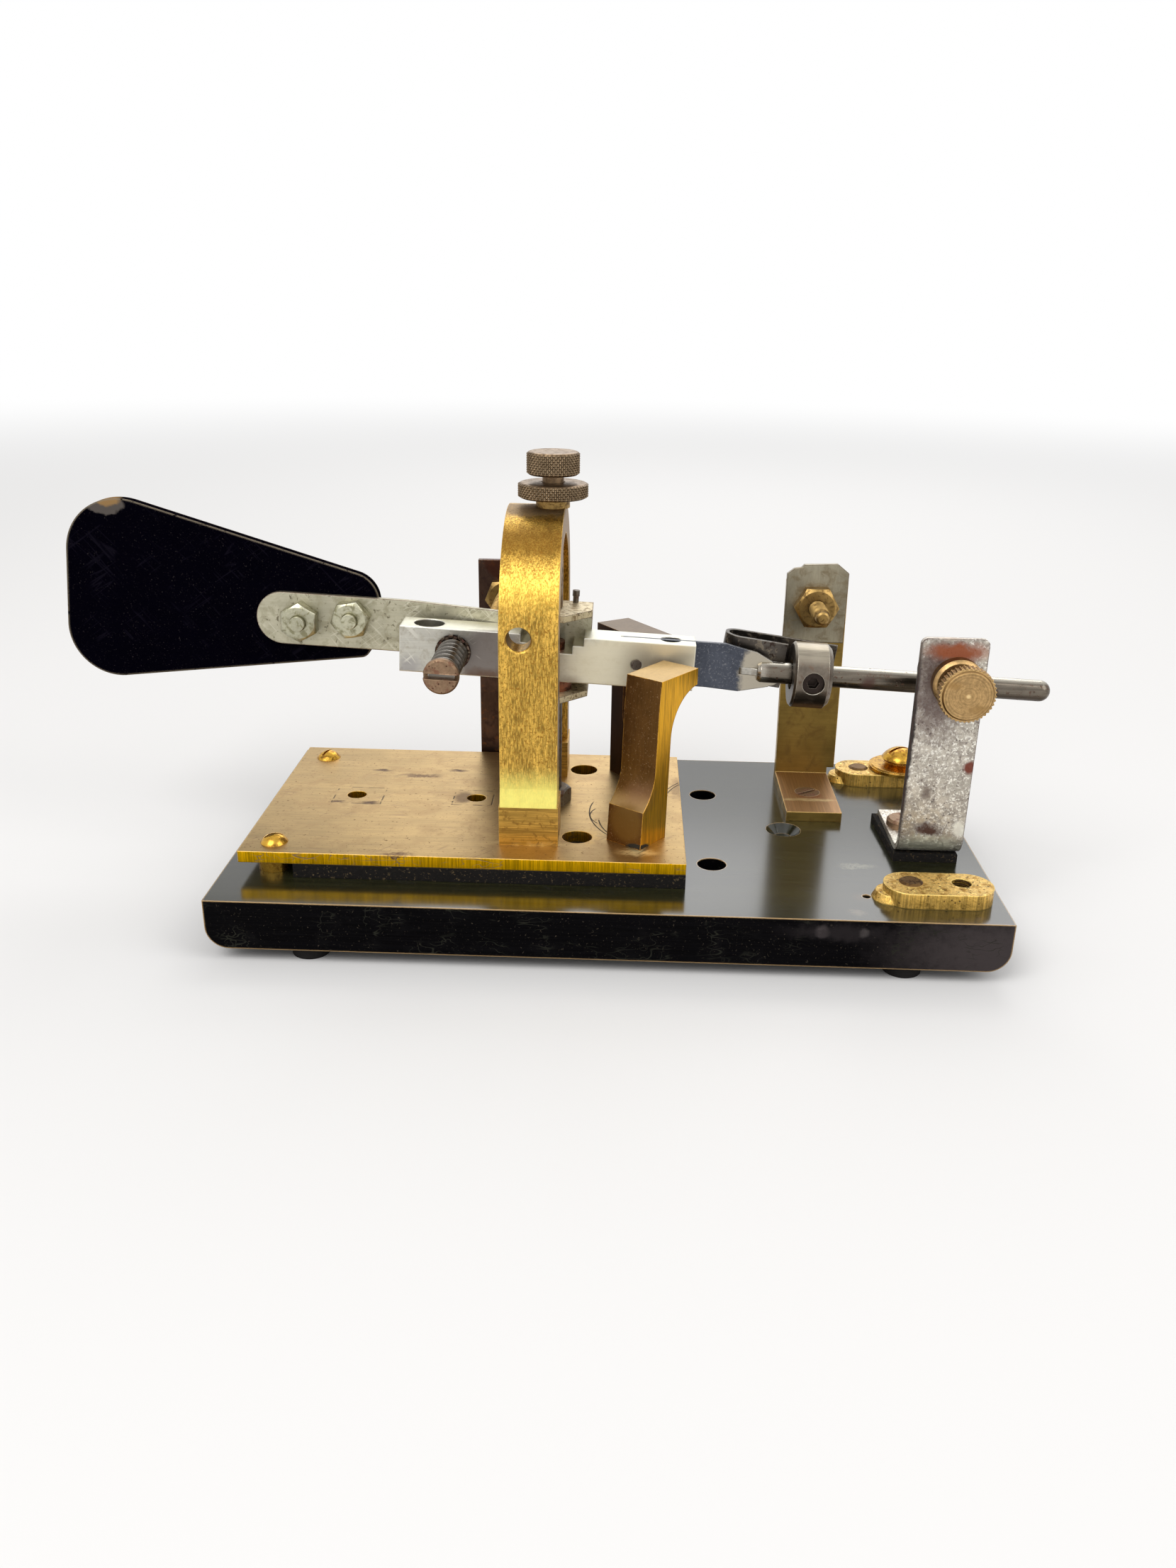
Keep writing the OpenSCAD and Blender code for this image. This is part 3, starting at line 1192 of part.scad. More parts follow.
// flat strip bent into a long U, its front arm lying along the rear of the rod
module dot_spring() color(blued) arm() dot_spring_place()
    linear_extrude(dot_spring_h, center = true) {
        ro = dot_spring_w / 2;
        ri = ro - dot_spring_t;
        difference() {
            translate([ro, 0]) circle(ro);
            translate([ro, 0]) circle(ri);
            translate([ro, -2 * ro]) square(4 * ro);
        }
        translate([ro, -ro]) square([weight_x - 1.3 - dot_spring_x - ro, dot_spring_t]);
        translate([ro, ri]) square([dot_spring_l - ro, dot_spring_t]);
    }

module dot_spring_place() translate([dot_spring_x, rod_r + 0.02 + dot_spring_w / 2, 6.5 + rod_z
    - dot_spring_h / 2 + 0.78]) rotate([0, dot_spring_drop, 0]) children();

module dot_contact() color([0.75, 0.75, 0.74]) arm() dot_spring_place()
    translate([dot_spring_l - contact_r - 0.5, 0, dot_spring_h / 2 - contact_r - 0.3])
        along_y(contact_r, dot_spring_w / 2, contact_t);

module weight() color(steel) arm() translate([weight_x, 0, rod_z]) difference() {
    rotate([0, 90, 0]) {
        cylinder(r1 = weight_r - 0.5, r2 = weight_r, h = 0.5);
        translate([0, 0, 0.5]) cylinder(r = weight_r, h = weight_w - 1.5, $fn = 72);
        translate([0, 0, weight_w - 1]) cylinder(r1 = weight_r, r2 = weight_r - 1, h = 1);
    }
    rotate([0, 90, 0]) {
        through(rod_r + weight_fit, weight_w);
        translate([0, 0, -eps]) cylinder(r1 = weight_mouth_r, r2 = rod_r, h = weight_mouth_h);
        translate([0, 0, weight_w - weight_mouth_h + eps])
            cylinder(r1 = rod_r, r2 = weight_mouth_r, h = weight_mouth_h);
    }
    translate([weight_w / 2, 0, 0]) along_y(set_r + 0.02, -weight_r - 1, weight_r + 1);
}

module weight_set_screw() color([0.2, 0.18, 0.17]) arm()
    translate([weight_x + weight_w / 2, 0, rod_z]) difference() {
        along_y(set_r, -weight_r + set_sink, weight_r - set_sink - rod_r - 0.03);
        translate([0, -weight_r, 0]) rotate([-90, 0, 0])
            cylinder(r = set_hex_r, h = set_sink + set_hex_h - over, $fn = 6);
    }

base();
feet();
base_plug();
plate_pad();
mounting_plate();
plate_spacers();
plate_screws();
hoop();
hoop_feet();
hoop_screws();
pivot_boss();
pivot_screw();
pivot_lock_nut();
lower_pivot_screw();
lower_pivot_nut();
front_stop_post();
rear_stop_post();
post_screws();
dot_bracket();
dot_bracket_strip();
dot_bracket_screw();
dot_stud();
dot_stud_nut();
dash_bracket();
dash_bracket_screw();
dash_stud();
dash_stud_nut();
damper_bracket();
damper_bracket_pad();
damper_bracket_screw();
damper_lock_nut();
thumb_screw();
damper_disc();
front_terminal();
rear_terminal();
terminal_rivets();
terminal_screw();
terminal_washer();
lever_bar();
lever_strip();
paddle();
paddle_screws();
paddle_nuts();
yoke();
yoke_bush();
yoke_screws();
pivot_cup();
adjusting_screw();
star_washer();
spring_pin();
vibrator_spring();
solder_joint();
pendulum_rod();
dot_spring();
dot_contact();
weight();
weight_set_screw();
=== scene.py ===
"""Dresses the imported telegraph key: finishes, knurls, threads, worn edges, light and camera."""

import json
import logging
import math
from dataclasses import dataclass, field
from enum import Enum, IntEnum
from typing import Any, Callable, ClassVar, Optional

import bmesh
import bpy
from mathutils import Matrix, Vector


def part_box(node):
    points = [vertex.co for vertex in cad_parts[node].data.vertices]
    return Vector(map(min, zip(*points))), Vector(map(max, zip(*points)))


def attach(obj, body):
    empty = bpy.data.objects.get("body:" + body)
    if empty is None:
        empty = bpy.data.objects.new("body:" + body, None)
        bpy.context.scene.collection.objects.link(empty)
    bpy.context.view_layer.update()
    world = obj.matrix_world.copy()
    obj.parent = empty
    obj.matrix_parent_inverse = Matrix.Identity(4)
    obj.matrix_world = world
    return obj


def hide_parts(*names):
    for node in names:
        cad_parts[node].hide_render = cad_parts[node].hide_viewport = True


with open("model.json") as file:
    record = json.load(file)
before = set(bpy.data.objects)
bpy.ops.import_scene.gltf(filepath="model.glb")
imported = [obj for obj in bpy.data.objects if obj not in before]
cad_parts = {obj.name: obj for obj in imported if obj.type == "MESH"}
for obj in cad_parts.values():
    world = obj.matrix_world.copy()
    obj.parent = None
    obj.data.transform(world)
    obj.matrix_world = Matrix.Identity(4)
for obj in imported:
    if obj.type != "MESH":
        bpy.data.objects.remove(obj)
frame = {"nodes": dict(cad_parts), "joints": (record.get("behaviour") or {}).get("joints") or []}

MM = 0.001
TURN = 2 * math.pi
Colour = tuple[float, float, float]
Point = tuple[float, float, float]
Pair = tuple[float, float]
Sockets = dict[str, Any]
log = logging.getLogger("telegraph_key")


def paint(red: int, green: int, blue: int) -> Colour:
    """Turn a display colour into the linear one that shaders take.

    Args:
        red: Display red, 0 to 255.
        green: Display green, 0 to 255.
        blue: Display blue, 0 to 255.

    Returns:
        The linear colour.
    """
    def linear(level: int) -> float:
        """Return one channel in linear light."""
        share = level / 255
        return share / 12.92 if share <= 0.04045 else ((share + 0.055) / 1.055) ** 2.4

    return linear(red), linear(green), linear(blue)


class Graph:
    """Short calls for wiring one node tree."""

    def __init__(self, tree: bpy.types.NodeTree) -> None:
        """Keep the tree to wire."""
        self.tree = tree

    def feed(self, socket: bpy.types.NodeSocket, value: Any) -> None:
        """Link a socket to another, or set its value.

        Args:
            socket: The input to feed.
            value: An output socket, a number or a tuple.
        """
        if isinstance(value, bpy.types.NodeSocket):
            self.tree.links.new(value, socket)
        elif socket.type == "RGBA":
            socket.default_value = (*value[:3], 1.0)
        else:
            socket.default_value = value

    def node(self, kind: str, settings: Optional[dict[str, Any]] = None,
             **inputs: Any) -> bpy.types.Node:
        """Add a node.

        Args:
            kind: The node's type without its ShaderNode prefix.
            settings: Properties of the node itself.
            inputs: Input sockets by name, with underscores for spaces.

        Returns:
            The new node.
        """
        made = self.tree.nodes.new("ShaderNode" + kind)
        for name, value in (settings or {}).items():
            setattr(made, name, value)
        for name, value in inputs.items():
            self.feed(made.inputs[name.replace("_", " ")], value)
        return made

    def pair(self, kind: str, operation: str, first: Any, second: Any) -> bpy.types.Node:
        """Add a node that works on two values.

        Args:
            kind: The node's type.
            operation: What it does with them.
            first: The first value or socket.
            second: The second one.

        Returns:
            The new node.
        """
        made = self.node(kind, {"operation": operation})
        self.feed(made.inputs[0], first)
        self.feed(made.inputs[1], second)
        return made

    def math(self, operation: str, first: Any, second: Any = 0.0) -> bpy.types.NodeSocket:
        """Return the result of a Math node on two values."""
        return self.pair("Math", operation, first, second).outputs[0]

    def times(self, first: Any, second: Any) -> bpy.types.NodeSocket:
        """Return the product of two numbers."""
        return self.math("MULTIPLY", first, second)

    def plus(self, first: Any, second: Any) -> bpy.types.NodeSocket:
        """Return the sum of two numbers."""
        return self.math("ADD", first, second)

    def minus(self, first: Any, second: Any) -> bpy.types.NodeSocket:
        """Return the first number less the second."""
        return self.math("SUBTRACT", first, second)

    def vector(self, operation: str, first: Any, second: Any = (0.0, 0.0, 0.0)) -> bpy.types.NodeSocket:
        """Return the vector that a Vector Math node makes of two vectors."""
        return self.pair("VectorMath", operation, first, second).outputs["Vector"]

    def number(self, operation: str, first: Any, second: Any = (0.0, 0.0, 0.0)) -> bpy.types.NodeSocket:
        """Return the number that a Vector Math node makes of two vectors."""
        return self.pair("VectorMath", operation, first, second).outputs["Value"]

    def scaled(self, place: Any, factor: Any) -> bpy.types.NodeSocket:
        """Multiply a vector by a number.

        Args:
            place: The vector.
            factor: The number.

        Returns:
            The product.
        """
        made = self.node("VectorMath", {"operation": "SCALE"}, Scale=factor)
        self.feed(made.inputs[0], place)
        return made.outputs[0]

    def mix(self, mask: Any, low: Any, high: Any, blend: str = "MIX") -> bpy.types.NodeSocket:
        """Mix two colours.

        Args:
            mask: How far the mix goes from low to high, 0 to 1.
            low: The colour where the mask is 0.
            high: The colour where it is 1.
            blend: The way of mixing.

        Returns:
            The mixed colour.
        """
        made = self.node("Mix", {"data_type": "RGBA", "blend_type": blend})
        self.feed(made.inputs[0], mask)
        self.feed(made.inputs[6], low)
        self.feed(made.inputs[7], high)
        return made.outputs[2]

    def step(self, value: Any, low: Any, high: Any, start: Any = 0.0,
             end: Any = 1.0) -> bpy.types.NodeSocket:
        """Go smoothly from start to end as the value goes from low to high."""
        return self.node("MapRange", {"interpolation_type": "SMOOTHSTEP"}, Value=value, From_Min=low,
                         From_Max=high, To_Min=start, To_Max=end).outputs[0]

    def line(self, away: Any, near: float, far: float) -> bpy.types.NodeSocket:
        """Return 1 where a number is within near of zero, fading to 0 at far."""
        return self.step(self.math("ABSOLUTE", away), near, far, 1.0, 0.0)

    def noise(self, place: Any, scale: Any, detail: float, rough: float,
              warp: float = 0.0) -> bpy.types.NodeSocket:
        """Return the value of a Noise texture."""
        return self.node("TexNoise", None, Vector=place, Scale=scale, Detail=detail, Roughness=rough,
                         Distortion=warp).outputs["Fac"]

    def output(self, kind: str, shader: bpy.types.Node) -> None:
        """Add an output node and join a shader to its surface."""
        out = self.node(kind)
        self.tree.links.new(shader.outputs[0], out.inputs["Surface"])

    def broken(self, place: Any, scale: float, level: float) -> bpy.types.NodeSocket:
        """Return 1 over the stretches where a slow noise is above a level, for lines that break off."""
        return self.step(self.noise(place, scale, 2.0, 0.5), level, level + 0.14)


class Effect:
    """One shader node group, made the first time that it is placed."""

    NUMBERS = ("Size", "Cover", "Softness", "Width", "Rag", "Core", "Radius", "Fineness", "Mask", "Value")

    def __init__(self, name: str, inputs: tuple[str, ...], outputs: tuple[str, ...],
                 wire: Callable[[Graph, Sockets], Sockets]) -> None:
        """Keep the group's name, sockets and wiring.

        Args:
            name: The group's name.
            inputs: Names of the inputs; each is a vector, unless NUMBERS has it.
            outputs: The same of the outputs.
            wire: Makes the nodes from the input sockets and returns the output sockets.
        """
        self.name, self.inputs, self.outputs, self.wire = name, inputs, outputs, wire

    def tree(self) -> bpy.types.NodeTree:
        """Make the group's tree, or find it if it is made.

        Returns:
            The tree.
        """
        found = bpy.data.node_groups.get(self.name)
        if found:
            return found
        tree = bpy.data.node_groups.new(self.name, "ShaderNodeTree")
        for names, way in ((self.inputs, "INPUT"), (self.outputs, "OUTPUT")):
            for name in names:
                kind = "NodeSocketFloat" if name in self.NUMBERS else "NodeSocketVector"
                tree.interface.new_socket(name=name, in_out=way, socket_type=kind)
        entry = tree.nodes.new("NodeGroupInput")
        leave = tree.nodes.new("NodeGroupOutput")
        made = self.wire(Graph(tree), {name: entry.outputs[name] for name in self.inputs})
        for name, socket in made.items():
            tree.links.new(socket, leave.inputs[name])
        return tree

    def place(self, graph: Graph, **inputs: Any) -> Sockets:
        """Place the group in a material.

        Args:
            graph: The material's graph.
            inputs: Input sockets by name.

        Returns:
            The output sockets by name.
        """
        made = graph.tree.nodes.new("ShaderNodeGroup")
        made.node_tree = self.tree()
        for name, value in inputs.items():
            graph.feed(made.inputs[name], value)
        return {name: made.outputs[name] for name in self.outputs}


def wire_grain(graph: Graph, given: Sockets) -> Sockets:
    """Wire long streaks: noise squeezed by a different amount along each axis.

    Args:
        graph: The group's graph.
        given: Its input sockets by name.

    Returns:
        Its output sockets by name.
    """
    fine_share = 0.72
    wide_scale = 0.17
    place = graph.vector("MULTIPLY", given["Place"], given["Stretch"])
    fine = graph.noise(place, 1.0, 4.0, 0.62)
    wide = graph.noise(place, wide_scale, 2.0, 0.5)
    return {"Value": graph.plus(graph.times(fine, fine_share), graph.times(wide, 1 - fine_share))}


def wire_patches(graph: Graph, given: Sockets) -> Sockets:
    """Wire soft blotches that cover about the given share of the surface.

    Args:
        graph: The group's graph.
        given: Its input sockets by name.

    Returns:
        Its output sockets by name.
    """
    bare_level = 0.64
    full_drop = 0.28
    value = graph.noise(given["Place"], graph.math("DIVIDE", 1.0, given["Size"]), 6.0, 0.66, 0.5)
    level = graph.minus(bare_level, graph.times(given["Cover"], full_drop))
    low = graph.minus(level, given["Softness"])
    high = graph.plus(level, given["Softness"])
    return {"Mask": graph.step(value, low, high)}


def wire_scratches(graph: Graph, given: Sockets) -> Sockets:
    """Wire thin broken lines, the level lines of a noise drawn out one way.

    Args:
        graph: The group's graph.
        given: Its input sockets by name.

    Returns:
        Its output sockets by name.
    """
    drawn_out = (0.03, 0.5, 0.5)
    width = 0.022
    turned = graph.node("VectorRotate", {"rotation_type": "EULER_XYZ"}, Vector=given["Place"],
                        Rotation=given["Turn"]).outputs[0]
    value = graph.noise(graph.vector("MULTIPLY", turned, drawn_out), 1.0, 1.0, 0.4)
    line = graph.line(graph.minus(value, 0.5), 0.0, width)
    return {"Mask": graph.times(line, graph.broken(given["Place"], 0.14, 0.5))}


def wire_pits(graph: Graph, given: Sockets) -> Sockets:
    """Wire small round spots, some of the cells of a Voronoi texture.

    Args:
        graph: The group's graph.
        given: Its input sockets by name.

    Returns:
        Its output sockets by name.
    """
    heart, rim = 0.12, 0.42
    scale = graph.math("DIVIDE", 1.0, given["Size"])
    cells = graph.node("TexVoronoi", None, Vector=given["Place"], Scale=scale)
    spot = graph.step(cells.outputs["Distance"], heart, rim, 1.0, 0.0)
    red = graph.node("SeparateColor", None, Color=cells.outputs["Color"]).outputs[0]
    chosen = graph.math("GREATER_THAN", red, graph.minus(1.0, given["Cover"]))
    return {"Mask": graph.times(spot, chosen)}


def wire_edges(graph: Graph, given: Sockets) -> Sockets:
    """Wire a rounded normal at edges, and a broken mask of the edges themselves: worn edges, and on knurls
    a painted highlight of the ridges.

    Args:
        graph: The group's graph.
        given: Its input sockets by name.

    Returns:
        Its output sockets by name.
    """
    flat, bent = 0.02, 0.16
    bare_level = 0.72
    full_drop = 0.5
    rim = 0.08
    radius = graph.times(given["Width"], MM)
    rounded = graph.node("Bevel", {"samples": 6}, Radius=radius).outputs[0]
    plain = graph.node("NewGeometry").outputs["Normal"]
    turned = graph.minus(1.0, graph.number("DOT_PRODUCT", rounded, plain))
    edge = graph.step(turned, flat, bent)
    level = graph.minus(bare_level, graph.times(given["Cover"], full_drop))
    worn = graph.step(graph.noise(given["Place"], 0.55, 5.0, 0.7), level, graph.plus(level, rim))
    return {"Mask": graph.times(edge, worn), "Normal": rounded}


def wire_facing(graph: Graph, given: Sockets) -> Sockets:
    """Wire a mask of the faces that look one way.

    Args:
        graph: The group's graph.
        given: Its input sockets by name.

    Returns:
        Its output sockets by name.
    """
    aside, ahead = 0.45, 0.8
    along = graph.number("DOT_PRODUCT", given["Normal"], given["Way"])
    return {"Mask": graph.step(along, aside, ahead)}


def wire_zone(graph: Graph, given: Sockets) -> Sockets:
    """Wire one ragged area round a centre, with its own half size along each axis.

    Args:
        graph: The group's graph.
        given: Its input sockets by name.

    Returns:
        Its output sockets by name.
    """
    rim = 1.08
    noise = graph.node("TexNoise", None, Vector=given["Place"], Scale=0.45, Detail=4.0, Roughness=0.65)
    rag = graph.vector("SUBTRACT", noise.outputs["Color"], (0.5, 0.5, 0.5))
    away = graph.vector("SUBTRACT", given["Place"], given["Centre"])
    moved = graph.vector("ADD", away, graph.scaled(rag, given["Rag"]))
    share = graph.number("LENGTH", graph.vector("DIVIDE", moved, given["Half"]))
    return {"Mask": graph.step(share, given["Core"], rim, 1.0, 0.0)}


def wire_arc(graph: Graph, given: Sockets) -> Sockets:
    """Wire a thin bent line, seen from above.

    Args:
        graph: The group's graph.
        given: Its input sockets by name.

    Returns:
        Its output sockets by name.
    """
    near, far = 0.06, 0.2
    away = graph.vector("SUBTRACT", given["Place"], given["Centre"])
    flat = graph.vector("MULTIPLY", away, (1.0, 1.0, 0.0))
    return {"Mask": graph.line(graph.minus(graph.number("LENGTH", flat), given["Radius"]), near, far)}


def wire_scribe(graph: Graph, given: Sockets) -> Sockets:
    """Wire a scribed rectangle: a thin line at a set distance from a centre, seen from above.

    Args:
        graph: The group's graph.
        given: Its input sockets by name.

    Returns:
        Its output sockets by name.
    """
    near, far = 0.08, 0.24
    away = graph.vector("ABSOLUTE", graph.vector("SUBTRACT", given["Place"], given["Centre"]))
    past = graph.node("SeparateXYZ", None, Vector=graph.vector("SUBTRACT", away, given["Half"]))
    furthest = graph.math("MAXIMUM", past.outputs[0], past.outputs[1])
    line = graph.line(furthest, near, far)
    return {"Mask": graph.times(line, graph.broken(given["Place"], 0.4, 0.42))}


def wire_rings(graph: Graph, given: Sockets) -> Sockets:
    """Wire turning marks: noise along the distance from an axis.

    Args:
        graph: The group's graph.
        given: Its input sockets by name.

    Returns:
        Its output sockets by name.
    """
    away = graph.vector("SUBTRACT", given["Place"], given["Centre"])
    distance = graph.number("LENGTH", graph.vector("MULTIPLY", away, given["Across"]))
    made = graph.node("TexNoise", {"noise_dimensions": "1D"}, W=distance, Scale=given["Fineness"],
                      Detail=2.0)
    return {"Value": made.outputs["Fac"]}


GRAIN = Effect("Grain", ("Place", "Stretch"), ("Value",), wire_grain)
PATCHES = Effect("Tarnish and highlight patches", ("Place", "Size", "Cover", "Softness"), ("Mask",), wire_patches)
SCRATCHES = Effect("Scratches", ("Place", "Turn"), ("Mask",), wire_scratches)
PITS = Effect("Pits", ("Place", "Size", "Cover"), ("Mask",), wire_pits)
EDGES = Effect("Worn and highlighted edges", ("Place", "Width", "Cover"), ("Mask", "Normal"), wire_edges)
FACING = Effect("Facing", ("Normal", "Way"), ("Mask",), wire_facing)
ZONE = Effect("Zone", ("Place", "Centre", "Half", "Rag", "Core"), ("Mask",), wire_zone)
ARC = Effect("Bent line", ("Place", "Centre", "Radius"), ("Mask",), wire_arc)
SCRIBE = Effect("Scribed box", ("Place", "Centre", "Half"), ("Mask",), wire_scribe)
RINGS = Effect("Turning marks", ("Place", "Centre", "Across", "Fineness"), ("Value",), wire_rings)


class Grain(Enum):
    """How a surface's streaks run: waves a millimetre along X, Y and Z."""

    ALONG_X = (0.07, 3.2, 3.2)
    ALONG_Y = (3.2, 0.07, 3.2)
    ALONG_Z = (3.2, 3.2, 0.55)
    LONG_Z = (3.6, 3.6, 0.12)
    EVEN = (1.6, 1.6, 1.6)


@dataclass(frozen=True)
class Streaks:
    """Streaks in one direction.

    Attributes:
        run: Which way they run.
        depth: Height of the bump in millimetres.
        tint: How far they darken the colour, 0 to 1.
    """

    run: Grain = Grain.EVEN
    depth: float = 0.01
    tint: float = 0.15


@dataclass(frozen=True)
class Blotch:
    """Patches of another colour.

    Attributes:
        colour: Their linear colour.
        size: Their size in millimetres.
        cover: The share of the surface that they cover.
        softness: How soft their rims are.
        rough: How much rougher they are.
        metal: How metallic they are.
    """

    colour: Colour
    size: float
    cover: float
    softness: float = 0.08
    rough: float = 0.15
    metal: float = 1.0


@dataclass(frozen=True)
class Facet:
    """Another look for the faces that look one way; on several finishes a painted highlight on faces turned
    to the light, or painted shade on faces turned from it.

    Attributes:
        way: The direction they look.
        colour: Their linear colour.
        streaks: Their own streaks.
        rough: Their roughness.
    """

    way: Point
    colour: Colour
    streaks: Streaks
    rough: float


@dataclass(frozen=True)
class Zone:
    """A ragged area at one place.

    Attributes:
        centre: Its centre in millimetres.
        half: Its half size along each axis.
        colour: Its linear colour.
        share: How strongly it covers what is under it.
        rag: How far its rim wanders, in millimetres.
        core: The part of it that is even, 0 to 1.
        rough: How much rougher it is.
        metal: How metallic it is.
    """

    centre: Point
    half: Point
    colour: Colour
    share: float = 1.0
    rag: float = 2.0
    core: float = 0.8
    rough: float = 0.1
    metal: float = 1.0


class Coat:
    """One material while its layers are laid, each over the last."""

    def __init__(self, tree: bpy.types.NodeTree, colour: Colour, rough: float, metal: float) -> None:
        """Start with the bare surface.

        Args:
            tree: The material's node tree.
            colour: Its linear colour.
            rough: Its roughness.
            metal: How metallic it is.
        """
        self.graph = Graph(tree)
        coordinates = self.graph.node("TexCoord")
        self.place = self.graph.scaled(coordinates.outputs["Object"], 1 / MM)
        self.normal = coordinates.outputs["Normal"]
        self.colour: Any = colour
        self.rough: Any = rough
        self.metal: Any = metal
        self.height: Any = 0.0

    def mask(self, effect: Effect, **inputs: Any) -> bpy.types.NodeSocket:
        """Return the mask of an effect that is placed here."""
        return effect.place(self.graph, Place=self.place, **inputs)["Mask"]

    def facing(self, way: Point) -> bpy.types.NodeSocket:
        """Return a mask of the faces that look one way."""
        return FACING.place(self.graph, Normal=self.normal, Way=way)["Mask"]

    def dim(self, factor: Any) -> None:
        """Multiply the colour by a number."""
        grey = self.graph.node("CombineColor", None, Red=factor, Green=factor, Blue=factor)
        self.colour = self.graph.mix(1.0, self.colour, grey.outputs[0], "MULTIPLY")

    def cloud(self, depth: float) -> None:
        """Darken the colour in broad, soft clouds.

        Args:
            depth: The share by which the darkest of them darken it.
        """
        darkest, clear = 0.34, 0.62
        value = self.graph.noise(self.place, 0.11, 3.0, 0.6)
        self.dim(self.graph.step(value, darkest, clear, 1.0 - depth, 1.0))

    def lay(self, mask: Any, colour: Colour, rough: float, metal: float, height: float = 0.0) -> None:
        """Lay one more colour where the mask is 1.

        Args:
            mask: Where the colour lies.
            colour: The new colour.
            rough: How much roughness it adds.
            metal: How metallic it is.
            height: How far it stands out, in millimetres.
        """
        graph = self.graph
        self.colour = graph.mix(mask, self.colour, colour)
        if rough:
            self.rough = graph.plus(self.rough, graph.times(mask, rough))
        if metal != self.metal:
            keep = graph.times(graph.minus(1.0, mask), self.metal)
            self.metal = graph.plus(keep, graph.times(mask, metal))
        if height:
            self.height = graph.plus(self.height, graph.times(mask, height))

    def streak(self, streaks: Streaks, mask: Any = None) -> None:
        """Lay streaks, where the mask says so if there is one.

        Args:
            streaks: The streaks.
            mask: Where they lie, or None for everywhere.
        """
        graph = self.graph
        darkest, clear = 0.36, 0.64
        value = GRAIN.place(graph, Place=self.place, Stretch=streaks.run.value)["Value"]
        darker = graph.step(value, darkest, clear, 1.0 - streaks.tint, 1.0)
        lift = graph.times(value, streaks.depth)
        if mask is not None:
            darker = graph.plus(1.0, graph.times(mask, graph.minus(darker, 1.0)))
            lift = graph.times(lift, mask)
        self.dim(darker)
        self.height = graph.plus(self.height, lift)

    def turn(self, centre: Point, across: Point) -> None:
        """Lay turning marks.

        Args:
            centre: Their centre in millimetres.
            across: The plane that they lie in.
        """
        graph = self.graph
        fineness = 3.2
        low, high = 0.3, 0.65
        darkest = 0.72
        depth = 0.02
        value = RINGS.place(graph, Place=self.place, Centre=centre, Across=across,
                            Fineness=fineness)["Value"]
        self.dim(graph.step(value, low, high, darkest, 1.0))
        self.height = graph.plus(self.height, graph.times(value, depth))

    def shade(self, normal: Any, shine: float, varnish: float) -> None:
        """Join the layers to the shader.

        Args:
            normal: The normal that the bumps stand on.
            shine: How strongly the surface mirrors when it is no metal.
            varnish: Weight of a clear coat on the faces that look up.
        """
        graph = self.graph
        coat = graph.times(self.facing((0.0, 0.0, 1.0)), varnish) if varnish else 0.0
        bump = graph.node("Bump", None, Strength=1.0, Distance=MM, Height=self.height, Normal=normal)
        shader = graph.node("BsdfPrincipled", None, Base_Color=self.colour, Roughness=self.rough,
                            Metallic=self.metal, Normal=bump.outputs[0], Coat_Weight=coat,
                            Specular_IOR_Level=shine, Coat_Roughness=0.16, Coat_IOR=1.65)
        graph.output("OutputMaterial", shader)


